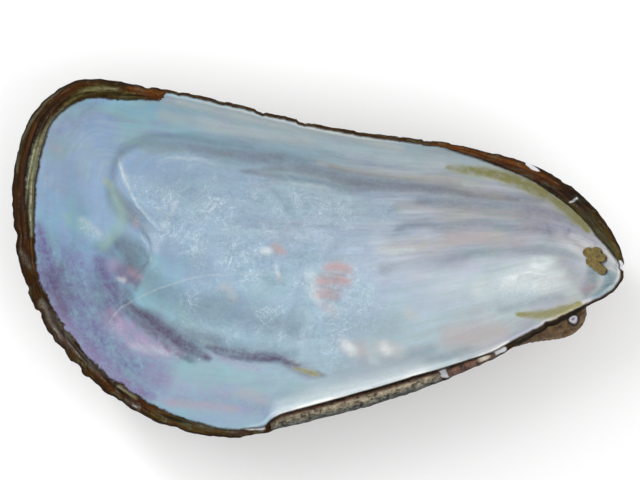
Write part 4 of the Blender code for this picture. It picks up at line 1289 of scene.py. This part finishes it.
class Paint:
    """A material under construction."""

    def __init__(self, name):
        self.material = bpy.data.materials.new(name)
        self.material.use_nodes = True
        self.tree = self.material.node_tree
        self.shader = self.tree.nodes["Principled BSDF"]
        self.used = {}

    def add(self, kind, settings, inputs, output=0):
        """A node with its settings made first, then its inputs; gives one of its outputs."""
        node = self.tree.nodes.new(kind)
        for key, value in settings.items():
            if key == "stops":
                self.set_stops(node.color_ramp, value)
            else:
                setattr(node, key, value)
        for key, value in inputs.items():
            self.feed(node.inputs[key], value)
        return Signal(self, node.outputs[output])

    def feed(self, socket, value):
        if isinstance(value, Signal):
            self.tree.links.new(value.socket, socket)
        elif socket.type == "RGBA" and len(value) == 3:
            socket.default_value = (*value, 1.0)
        else:
            socket.default_value = value

    @staticmethod
    def set_stops(ramp, stops):
        while len(ramp.elements) < len(stops):
            ramp.elements.new(1.0)
        for element, (position, colour) in zip(ramp.elements, stops):
            element.position = position
            element.color = (*colour, 1.0)

    def field(self, name):
        """A number stored on the mesh."""
        if name not in self.used:
            self.used[name] = self.add("ShaderNodeAttribute", {"attribute_name": name}, {}, "Fac")
        return self.used[name]

    def vector_field(self, name):
        """A vector stored on the mesh, as its three numbers."""
        return self.add("ShaderNodeAttribute", {"attribute_name": name}, {}, "Vector").parts()

    def vector(self, x, y, z):
        return self.add("ShaderNodeCombineXYZ", {}, {0: x, 1: y, 2: z})

    def place(self):
        """Millimetres over the object."""
        if "place" not in self.used:
            at = self.add("ShaderNodeTexCoord", {}, {}, "Object")
            scale = {0: at, 3: 1 / MM}
            self.used["place"] = self.add("ShaderNodeVectorMath", {"operation": "SCALE"}, scale)
        return self.used["place"]

    def noise(self, at, size, detail=2.0, roughness=0.5, warp=0.0):
        """Noise from -1 to 1 with features of this size."""
        inputs = {"Vector": at, "Scale": 1 / size, "Detail": detail, "Roughness": roughness,
                  "Distortion": warp}
        return self.add("ShaderNodeTexNoise", {}, inputs) * 2 - 1

    def cells(self, at, size):
        """Distance from the nearest of scattered points, 0 to about 1."""
        return self.add("ShaderNodeTexVoronoi", {}, {"Vector": at, "Scale": 1 / size})

    def ramp(self, factor, stops):
        return self.add("ShaderNodeValToRGB", {"stops": stops}, {0: factor})

    def mix(self, factor, one, other):
        """One colour where the factor is 0, the other where it is 1."""
        return self.add("ShaderNodeMix", {"data_type": "RGBA"}, {0: factor, 6: one, 7: other}, 2)

    def times(self, colour, factor):
        """A colour made lighter or darker."""
        return self.add("ShaderNodeVectorMath", {"operation": "SCALE"}, {0: colour, 3: factor})

    def multiply(self, colour, other):
        return self.add("ShaderNodeVectorMath", {"operation": "MULTIPLY"}, {0: colour, 1: other})

    def bump(self, height):
        """A normal from a height in millimetres."""
        inputs = {"Height": height, "Distance": MM, "Strength": 1.0}
        return self.add("ShaderNodeBump", {}, inputs)

    def finish(self, colour, roughness, height, coat=None):
        self.feed(self.shader.inputs["Base Color"], colour)
        self.feed(self.shader.inputs["Roughness"], roughness)
        self.feed(self.shader.inputs["Normal"], self.bump(height))
        if coat is not None:
            self.feed(self.shader.inputs["Coat Weight"], coat)
        return self.material


def rainbow(paint, phase, strength):
    """A factor for each of red, green and blue that shifts hue as the phase runs on."""
    waves = [1 + strength * ((phase - shift) * (2 * math.pi)).cosine() for shift in (0, 0.36, 0.68)]
    return paint.vector(*waves)


def nacre_colour(paint, settings):
    """Pearl: blue-grey behind, frosted in the middle and cream in front, with soft hues."""
    x, across, inward = paint.vector_field("flow")
    place = paint.place()
    drift = paint.noise(place, 14.0, 3.0)
    along = paint.add("ShaderNodeMapRange", {}, {0: x + drift * 3, 1: -65.0, 2: 65.0})
    hind, centre, front = settings.nacre_hind, settings.nacre_centre, settings.nacre_front
    colour = paint.ramp(along, (
        (0.0, [c * 0.92 for c in hind]),
        (0.24, hind),
        (0.38, [(a + b) / 2 for a, b in zip(hind, centre)]),
        (0.5, centre),
        (0.72, [(a + b) / 2 for a, b in zip(centre, front)]),
        (0.95, front),
    ))
    # Streaks run along the shell; hues wander across it.
    streaks = paint.noise(paint.vector(x * 0.05, across * 30, drift * 0.3), 1.0, 5.0, 0.62)
    fine = paint.noise(paint.vector(x * 0.2, across * 95, 0.0), 1.0, 2.0, 0.6)
    rounds = paint.noise(paint.vector(inward * 0.75 + drift, x * 0.06, across * 2.5), 1.0, 4.0, 0.6)
    mottle = paint.noise(place, 4.0, 5.0, 0.62, 0.6)
    behind = x.rise(-12.0, -45.0)
    streaks = streaks * (1 - behind) + rounds * behind * inward.rise(30.0, 15.0)
    belly = across.rise(0.4, 0.6) * across.rise(0.95, 0.85) * x.rise(-35.0, -5.0)
    lined = 0.12 + 0.12 * x.rise(-30.0, 20.0) + 0.05 * behind + 0.30 * belly
    colour = paint.times(colour, 1 + lined * streaks + (0.06 + 0.14 * belly) * fine + 0.12 * mottle)
    warmth = paint.noise(paint.vector(x * 0.05, across * 22, 3.0), 1.0, 3.0).rise(0.0, 0.5) * belly
    colour = paint.mix(warmth * 0.45, colour, WARM_STREAK)
    phase = paint.noise(place, 9.0, 3.0, 0.55, 0.8) * 0.8 + streaks * 0.5 + across * 1.3
    colour = paint.multiply(colour, rainbow(paint, phase, 0.035 + 0.03 * behind))
    return colour, streaks, fine


def tinted(paint, colour, tints, grain=0.0, unevenness=0.75):
    """The colour mixed towards each tint by the field of its name, unevenly."""
    broken = 1 + unevenness * paint.noise(paint.place(), 2.4, 5.0, 0.68, 0.4) + grain
    for name, tint, strength in tints:
        colour = paint.mix((paint.field(name) * broken * strength).clamped(), colour, tint)
    return colour


def marked(paint, colour):
    """The colour with the thin marks drawn on it."""
    place = paint.place()
    uneven = paint.noise(place, 1.6, 6.0, 0.75)
    broken = (0.7 + 1.4 * paint.noise(place, 1.7, 4.0, 0.7)).clamped()
    for name, _, width, mark, strength in THIN_MARKS:
        aside, along, _ = paint.vector_field(name)
        inside = along.rise(-0.04, 0.1) * along.rise(1.04, 0.9)
        away = abs(aside + uneven * (0.3 + 1.6 * width))
        line = away.rise(width * 2.0, 0.0) * inside * broken * strength
        colour = paint.mix(line, colour, mark)
    return colour


def horn_colour(paint, settings):
    """The layered horny margin: dark brown with paler, orange and olive layers."""
    place = paint.place()
    into = paint.field("into")
    along = paint.field("from_beak")
    fibres = paint.noise(paint.vector(into * 8, along * 0.22, 0.0), 1.0, 4.0, 0.6)
    patches = paint.noise(place, 2.6, 5.0, 0.62, 0.7)
    dark = settings.horn
    colour = paint.ramp((0.5 + 0.45 * fibres + 0.35 * patches).clamped(), (
        (0.15, [c * 0.12 for c in dark]),
        (0.5, dark),
        (0.75, [c * 1.7 for c in dark]),
        (0.95, (0.13, 0.07, 0.02)),
    ))
    colour = tinted(paint, colour, (
        ("horn_olive", (0.105, 0.088, 0.022), 0.9),
        ("horn_orange", (0.12, 0.038, 0.006), 0.8),
        ("horn_pale", (0.33, 0.34, 0.20), 0.9),
        ("horn_flake", (0.155, 0.14, 0.12), 0.9),
        ("horn_black", (0.010, 0.006, 0.004), 0.9),
    ), 1.3 * fibres)
    # Flakes and black cracks of the dry skin.
    specks = paint.noise(place, 0.8, 5.0, 0.75, 0.6)
    scales = paint.noise(paint.vector(into * 1.6, along * 0.45, 7.0), 1.0, 4.0, 0.7, 0.8)
    colour = paint.mix(scales.rise(0.02, 0.35) * 0.7, colour, OLIVE_SCALE)
    colour = paint.mix(scales.rise(-0.05, -0.35) * 0.7, colour, RED_SCALE)
    layers = paint.noise(paint.vector(into * 5, along * 0.12, 3.0), 1.0, 3.0, 0.6)
    colour = paint.mix(specks.rise(0.05, -0.5) * 0.85, colour, CRACK_BLACK)
    colour = paint.mix(layers.rise(0.05, -0.3) * 0.75, colour, CRACK_BLACK)
    # Painted glints: highlights on the pale layers and flakes, painted into the colour.
    painted_glints = 0.12 + 0.8 * paint.field("horn_pale") + 0.8 * paint.field("horn_flake")
    painted_glints = painted_glints * (fibres + specks * 0.6).rise(0.22, 0.55)
    colour = paint.mix(painted_glints.clamped(), colour, PAINTED_HORN_GLINT)
    edge = into.rise(0.3, 0.02) * (0.8 + 0.6 * patches).clamped()
    colour = paint.mix(edge * 0.85, colour, EDGE_BLACK)
    colour = paint.mix(paint.field("horn_white").rise(0.2, 0.6), colour, CHALK)
    return colour, fibres, patches


def outside_colour(paint, settings):
    """The outside: dark brown horny skin with growth lines, worn through at the beak."""
    place = paint.place()
    ages = paint.field("ages") + 0.15 * paint.noise(place, 5.0, 3.0)
    lines = paint.noise(paint.vector(ages * 1.7, 0.0, 0.0), 1.0, 5.0, 0.72)
    patches = paint.noise(place, 6.0, 4.0, 0.6, 0.5)
    dark = settings.outside
    colour = paint.ramp((0.5 + 0.9 * lines + 0.3 * patches).clamped(), (
        (0.1, [c * 0.25 for c in dark]),
        (0.5, dark),
        (0.9, [c * 2.2 for c in dark]),
    ))
    pauses = ages.fraction().rise(0.3, 0.0) * (0.7 + patches).clamped()
    colour = paint.mix(pauses * 0.7, colour, PAUSE_BLACK)
    from_beak = paint.field("from_beak") + patches * 3 + lines * 1.0
    near = from_beak.rise(19.0, 8.0)
    bare = paint.noise(place, 2.2, 5.0, 0.65)
    colour = paint.mix((near * (0.6 + 1.3 * bare)).clamped(), colour, BARE_BEAK)
    specks = paint.noise(place, 1.4, 6.0, 0.75, 0.5)
    colour = paint.mix(specks.rise(0.1, -0.4) * 0.9, colour, SPECK_BLACK)
    # The worn spot: a dark ring, then bare shell with a violet middle.
    worn = paint.field("worn")
    colour = paint.mix(worn.rise(0.02, 0.2) * 0.9, colour, RING_BLACK)
    bare_shell = paint.mix(worn.rise(0.6, 0.95), BARE_SHELL, WORN_VIOLET)
    return paint.mix(worn.rise(0.25, 0.6), colour, bare_shell), lines


def shell_material(settings):
    paint = Paint("mussel_shell")
    place = paint.place()
    tatters = paint.noise(place, 1.5, 5.0, 0.7, 0.8)
    margin = paint.field("margin") + tatters * (0.1 + 1.5 * paint.field("frayed"))
    horny = margin.rise(-0.08, 0.08)
    outside = paint.field("outside").rise(0.3, 0.7)

    pearl, streaks, fine = nacre_colour(paint, settings)
    frost = (paint.field("frost") * (1 + 0.25 * paint.noise(place, 1.2, 3.0))).clamped()
    grain = paint.noise(place, 0.35, 2.0, 0.7)
    smooth = 0.9 * streaks + 0.5 * paint.noise(place, 0.7, 4.0, 0.7)
    blotchy = smooth + 1.1 * paint.noise(place, 1.5, 3.0, 0.6, 0.6)
    pearl = tinted(paint, pearl, (
        ("frost", [c * 1.04 for c in settings.nacre_centre], 0.5),
        ("shade", (0.13, 0.165, 0.215), 0.8),
        ("brown", (0.175, 0.165, 0.165), 0.75),
        ("warm", (0.58, 0.50, 0.40), 0.6),
        ("green", (0.26, 0.42, 0.34), 0.6),
    ), smooth, 0.5)
    pearl = tinted(paint, pearl, (
        ("violet", (0.15, 0.135, 0.28), 0.95),
        ("mauve", (0.36, 0.30, 0.44), 0.8),
    ), blotchy)
    # Pink, plum and teal tints, then pale streaks and white edges with the painted highlights drawn among
    # them.
    pearl = tinted(paint, pearl, (
        ("pink", (0.49, 0.33, 0.33), 0.9),
        ("plum", (0.085, 0.06, 0.115), 0.9),
        ("teal", (0.12, 0.22, 0.27), 0.85),
        ("pale", (0.60, 0.66, 0.66), 0.7),
        ("white", (0.82, 0.83, 0.81), 0.85),
    ), smooth, 0.5)
    # Fine white veins and crystals in the frosted middle.
    veins = (1 - abs(paint.noise(place, 6.0, 5.0, 0.62, 1.2)) * 14).clamped() ** 2
    veins = veins.larger((1 - abs(paint.noise(place, 2.4, 4.0, 0.65, 1.0)) * 16).clamped() * 0.6)
    crystals = paint.noise(place, 1.1, 6.0, 0.8, 0.4).rise(0.0, 0.45)
    patchy = paint.noise(place, 7.0, 3.0).rise(-0.3, 0.3)
    patchy = patchy * (1 - paint.field("pink")).clamped()
    frosting = (frost * (veins * 0.85 + crystals * 0.85) * patchy).clamped()
    pearl = paint.mix(frosting, pearl, FROST_WHITE)
    dull = paint.noise(place, 3.0, 6.0, 0.72, 0.5).rise(0.1, -0.4)
    pearl = paint.mix(frost * dull * 0.5, pearl, FROST_GREY)
    pearl = marked(paint, pearl)
    pearl = paint.times(pearl, 1 + (0.05 + 0.07 * frost) * grain)
    film = paint.field("film") * (1.0 + 0.9 * paint.noise(place, 1.8, 5.0, 0.7) + 0.3 * streaks)
    film_colour = paint.mix(paint.field("film").rise(0.2, 0.9), THIN_FILM, THICK_FILM)
    film_colour = paint.times(film_colour, 1 + 0.3 * paint.noise(place, 1.0, 5.0, 0.7))
    pearl = paint.mix(film.rise(0.05, 1.1), pearl, film_colour)

    horn, fibres, patches = horn_colour(paint, settings)
    border = abs(margin).rise(0.4, 0.05) * paint.field("into").rise(0.5, 0.8)
    border = border * (1 - paint.field("film")).clamped()
    skin, lines = outside_colour(paint, settings)
    colour = paint.mix(horny, pearl, horn)
    colour = paint.mix(border * 0.75, colour, BORDER_BROWN)
    colour = paint.mix(outside, colour, skin)
    # The crevice beside the beak, darkened with painted shade.
    aside, along, _ = paint.vector_field("crevice")
    crevice = abs(aside + 0.3 * paint.noise(place, 1.2, 4.0, 0.7)).rise(0.38, 0.12)
    crevice = crevice * along.rise(0.0, 0.1) * along.rise(1.0, 0.9)
    colour = paint.mix(crevice * 0.95, colour, CREVICE_SHADE)

    roughness = 0.27 + 0.16 * frost + 0.05 * grain * frost + 0.1 * paint.field("film")
    roughness = roughness + horny * (0.06 + 0.08 * patches)
    roughness = roughness + outside * (0.3 - 0.08 * lines)
    height = 0.03 * streaks + 0.012 * fine + 0.02 * grain * frost + 0.05 * veins * frost
    height = (1 - horny) * height
    height = height + horny * (1 - outside) * (0.05 * fibres + 0.07 * patches)
    height = height + outside * 0.14 * lines
    coat = (0.42 - 0.2 * frost) * (1 - horny) + horny * (0.12 + 0.2 * fibres + 0.1 * outside)
    paint.shader.inputs["Coat Roughness"].default_value = 0.25
    paint.shader.inputs["Specular IOR Level"].default_value = 0.0
    return paint.finish(colour, roughness, height, coat.clamped())


def ligament_material(settings):
    paint = Paint("torn_ligament")
    x, across, from_end = paint.vector_field("where")
    place = paint.place()
    fibres = paint.noise(paint.vector(x * 0.8, across * 7, 0.0), 1.0, 5.0, 0.7)
    mottle = paint.noise(place, 1.5, 6.0, 0.75, 0.5)
    front = x.rise(27.0, 28.0)
    colour = paint.ramp((across + 0.2 * fibres + 0.15 * mottle).clamped(), (
        (0.0, [c * 0.25 for c in settings.ligament_low]),
        (0.22, settings.ligament_low),
        (0.45, settings.ligament_middle),
        (0.7, [c * 1.2 for c in settings.ligament_middle]),
        (0.84, settings.ligament_upper),
        (0.97, [c * 0.8 for c in settings.ligament_upper]),
    ))
    colour = paint.mix(front * 0.75, colour, FRAGMENT_RED)
    rust = paint.noise(place, 3.5, 4.0, 0.6).rise(0.0, 0.5) * across.rise(0.25, 0.6)
    colour = paint.mix(rust * 0.6, colour, RUST)
    colour = paint.times(colour, (0.8 + 2.6 * mottle + 1.4 * fibres).larger(0.06))
    flecks = mottle.rise(0.25, 0.55)
    colour = paint.mix(flecks * 0.55, colour, PALE_FLECK)
    pale_end = x.rise(34.2, 35.2) * x.rise(37.2, 36.4) * across.rise(0.25, 0.5)
    colour = paint.mix(pale_end * (0.8 + mottle).clamped(), colour, PALE_END)
    torn = (from_end + 0.6 * mottle).rise(1.2, 0.2)
    colour = paint.mix(torn * 0.6, colour, TORN_BROWN)
    paint.shader.inputs["Specular IOR Level"].default_value = 0.15
    return paint.finish(colour, 0.55 + 0.15 * mottle, 0.09 * fibres + 0.08 * mottle)


def muscle_material(settings):
    paint = Paint("dried_muscle")
    place = paint.place()
    lumps = paint.noise(place, 0.9, 4.0, 0.6, 0.4)
    pits = paint.cells(place, 0.75).rise(0.5, 0.15)
    colour = paint.ramp((0.5 + 0.5 * lumps).clamped(), (
        (0.2, [c * 0.35 for c in settings.muscle]),
        (0.5, settings.muscle),
        (0.85, [c * 1.9 for c in settings.muscle]),
    ))
    colour = paint.mix(pits * lumps.rise(0.25, -0.35) * 0.9, colour, CRUST_PIT)
    return paint.finish(colour, 0.42 + 0.15 * lumps, 0.12 * lumps - 0.06 * pits)


def floor_material(settings):
    paint = Paint("plain_floor")
    grain = paint.noise(paint.place(), 3.0, 2.0)
    colour = paint.times(settings.floor, 1 + 0.004 * grain)
    return paint.finish(colour, 0.8, 0.002 * grain)


def soft_light(name, place, size, energy):
    """A square white area light that looks at the shell."""
    data = bpy.data.lights.new(name, "AREA")
    data.shape, data.size, data.energy = "SQUARE", size, energy
    obj = bpy.data.objects.new(name, data)
    obj.location = place
    aim = Vector(LIGHTS_AIM) - Vector(place)
    obj.rotation_euler = aim.to_track_quat("-Z", "Y").to_euler()
    bpy.context.scene.collection.objects.link(obj)
    return obj


def around(azimuth, elevation, distance):
    """A place seen from the shell in this direction, degrees."""
    turn, lift = math.radians(azimuth), math.radians(elevation)
    return (
        distance * math.cos(lift) * math.cos(turn),
        distance * math.cos(lift) * math.sin(turn),
        distance * math.sin(lift),
    )


def build_stage(settings):
    scene = bpy.context.scene
    span = settings.floor_span / 2
    data = bpy.data.meshes.new("floor")
    corners = [(-span, -span, 0), (span, -span, 0), (span, span, 0), (-span, span, 0)]
    data.from_pydata(corners, [], [(0, 1, 2, 3)])
    data.materials.append(floor_material(settings))
    floor = bpy.data.objects.new("floor", data)
    scene.collection.objects.link(floor)

    lights = [
        soft_light(name, around(*place), size, getattr(settings, name + "_power"))
        for name, place, size in LIGHTS
    ]
    world = bpy.data.worlds.new("studio")
    world.use_nodes = True
    background = world.node_tree.nodes["Background"]
    background.inputs["Color"].default_value = (*settings.room, 1.0)
    background.inputs["Strength"].default_value = 1.0
    scene.world = world

    camera = bpy.data.cameras.new("camera")
    camera.sensor_width, camera.lens = CAMERA_SENSOR, CAMERA_LENS
    camera.clip_start = CAMERA_CLIP
    watcher = bpy.data.objects.new("camera", camera)
    watcher.location = (*CAMERA_AT, CAMERA_HEIGHT)
    scene.collection.objects.link(watcher)
    scene.camera = watcher
    scene.view_settings.view_transform = "Standard"


def colour_property(name, description, default):
    return bpy.props.FloatVectorProperty(
        name=name, description=description, default=default, subtype="COLOR", size=3, min=0, max=1
    )


class MusselShellSettings(bpy.types.PropertyGroup):
    relief: bpy.props.FloatProperty(
        name="Pearly relief", description="Share of the grooves and blisters of the pearly face",
        default=1.0, min=0.0, max=1.5)
    horn_layers: bpy.props.FloatProperty(
        name="Horn layers", description="Share of the heights across the horny margin",
        default=1.0, min=0.0, max=1.5)
    growth_line_height: bpy.props.FloatProperty(
        name="Growth lines", description="Height of the growth lines of the outside",
        default=0.00016, min=0.0, max=0.0005, subtype="DISTANCE", unit="LENGTH")
    nacre_hind: colour_property("Pearl, hind end", "Colour of the pearl behind", (0.25, 0.39, 0.50))
    nacre_centre: colour_property("Pearl, centre", "Colour of the frosted pearl", (0.335, 0.44, 0.52))
    nacre_front: colour_property("Pearl, front end", "Colour of the pearl in front", (0.52, 0.54, 0.56))
    horn: colour_property("Horny margin", "Colour of the horny margin", (0.040, 0.017, 0.003))
    outside: colour_property("Outside", "Colour of the horny skin outside", (0.040, 0.021, 0.008))


class LigamentSettings(bpy.types.PropertyGroup):
    ligament_fibres: bpy.props.FloatProperty(
        name="Fibres", description="Share of the height of the ligament's fibres",
        default=1.0, min=0.0, max=1.5)
    ligament_low: colour_property("Outer side", "Colour along the outer side", (0.11, 0.115, 0.10))
    ligament_middle: colour_property("Middle", "Colour along the middle", (0.22, 0.185, 0.13))
    ligament_upper: colour_property("Inner side", "Colour along the pearly edge", (0.085, 0.040, 0.022))


class MuscleSettings(bpy.types.PropertyGroup):
    crust_roughness: bpy.props.FloatProperty(
        name="Crust", description="Share of the height of the crust's lumps",
        default=1.0, min=0.0, max=1.5)
    muscle: colour_property("Dried muscle", "Colour of the dried muscle", (0.20, 0.14, 0.03))


class StageSettings(bpy.types.PropertyGroup):
    floor_span: bpy.props.FloatProperty(
        name="Floor", description="Length of each side of the floor",
        default=3.0, min=0.5, max=20.0, subtype="DISTANCE", unit="LENGTH")
    floor: colour_property("Floor colour", "Colour of the floor", (0.96, 0.96, 0.96))
    room: colour_property("Room light", "Colour and brightness of the light all round", (0.8, 0.8, 0.8))
    key_power: bpy.props.FloatProperty(
        name="Key light", description="Power of the main light", default=4.3, min=0.0, max=200.0,
        subtype="POWER", unit="POWER")
    fill_power: bpy.props.FloatProperty(
        name="Fill light", description="Power of the light opposite", default=4.0, min=0.0, max=200.0,
        subtype="POWER", unit="POWER")
    gleam_power: bpy.props.FloatProperty(
        name="Gleam light", description="Power of the small low light", default=2.6, min=0.0, max=200.0,
        subtype="POWER", unit="POWER")


class MUSSEL_OT_valve(bpy.types.Operator):
    """Build the valve with its pearly face, horny margin and outside"""

    bl_idname = "mussel.valve"
    bl_label = "Build Valve"

    def execute(self, context):
        build_valve(context.scene.mussel_shell)
        return {"FINISHED"}


class MUSSEL_OT_ligament(bpy.types.Operator):
    """Build the two torn remnants of the ligament on the hinge's ledge"""

    bl_idname = "mussel.ligament"
    bl_label = "Build Ligament Remnants"

    def execute(self, context):
        settings, bowl = context.scene.mussel_ligament, Bowl()
        build_ligament(bowl, "torn_strip", "ligament_strip", STRIP_ENDS, 101, settings)
        build_ligament(bowl, "torn_fragment", "ligament_fragment", FRAGMENT_ENDS, 151, settings)
        return {"FINISHED"}


class MUSSEL_OT_muscle(bpy.types.Operator):
    """Build the crust of dried muscle on the front scar"""

    bl_idname = "mussel.muscle"
    bl_label = "Build Dried Muscle"

    def execute(self, context):
        build_muscle(Bowl(), context.scene.mussel_muscle)
        return {"FINISHED"}


class MUSSEL_OT_stage(bpy.types.Operator):
    """Build the floor, the soft lights and the camera"""

    bl_idname = "mussel.stage"
    bl_label = "Build Stage"

    def execute(self, context):
        build_stage(context.scene.mussel_stage)
        return {"FINISHED"}


class MUSSEL_PT_panel(bpy.types.Panel):
    """Pieces of the mussel shell and their sizes and colours"""

    bl_label = "Mussel Shell"
    bl_idname = "MUSSEL_PT_panel"
    bl_space_type = "VIEW_3D"
    bl_region_type = "UI"
    bl_category = "Mussel Shell"

    def draw(self, context):
        for group, _, operator in PARTS:
            box = self.layout.box()
            settings = getattr(context.scene, group)
            for name in settings.__annotations__:
                box.prop(settings, name)
            box.operator(operator.bl_idname)


# Each part's group of settings on the scene, the class of the group, and its operator.
PARTS = (
    ("mussel_shell", MusselShellSettings, MUSSEL_OT_valve),
    ("mussel_ligament", LigamentSettings, MUSSEL_OT_ligament),
    ("mussel_muscle", MuscleSettings, MUSSEL_OT_muscle),
    ("mussel_stage", StageSettings, MUSSEL_OT_stage),
)


def register():
    for name, group, operator in PARTS:
        bpy.utils.register_class(group)
        bpy.utils.register_class(operator)
        setattr(bpy.types.Scene, name, bpy.props.PointerProperty(type=group))
    bpy.utils.register_class(MUSSEL_PT_panel)


def unregister():
    bpy.utils.unregister_class(MUSSEL_PT_panel)
    for name, group, operator in reversed(PARTS):
        delattr(bpy.types.Scene, name)
        bpy.utils.unregister_class(operator)
        bpy.utils.unregister_class(group)


def main():
    register()
    bpy.ops.mussel.valve()
    bpy.ops.mussel.ligament()
    bpy.ops.mussel.muscle()
    bpy.ops.mussel.stage()


if __name__ == "__main__":
    main()
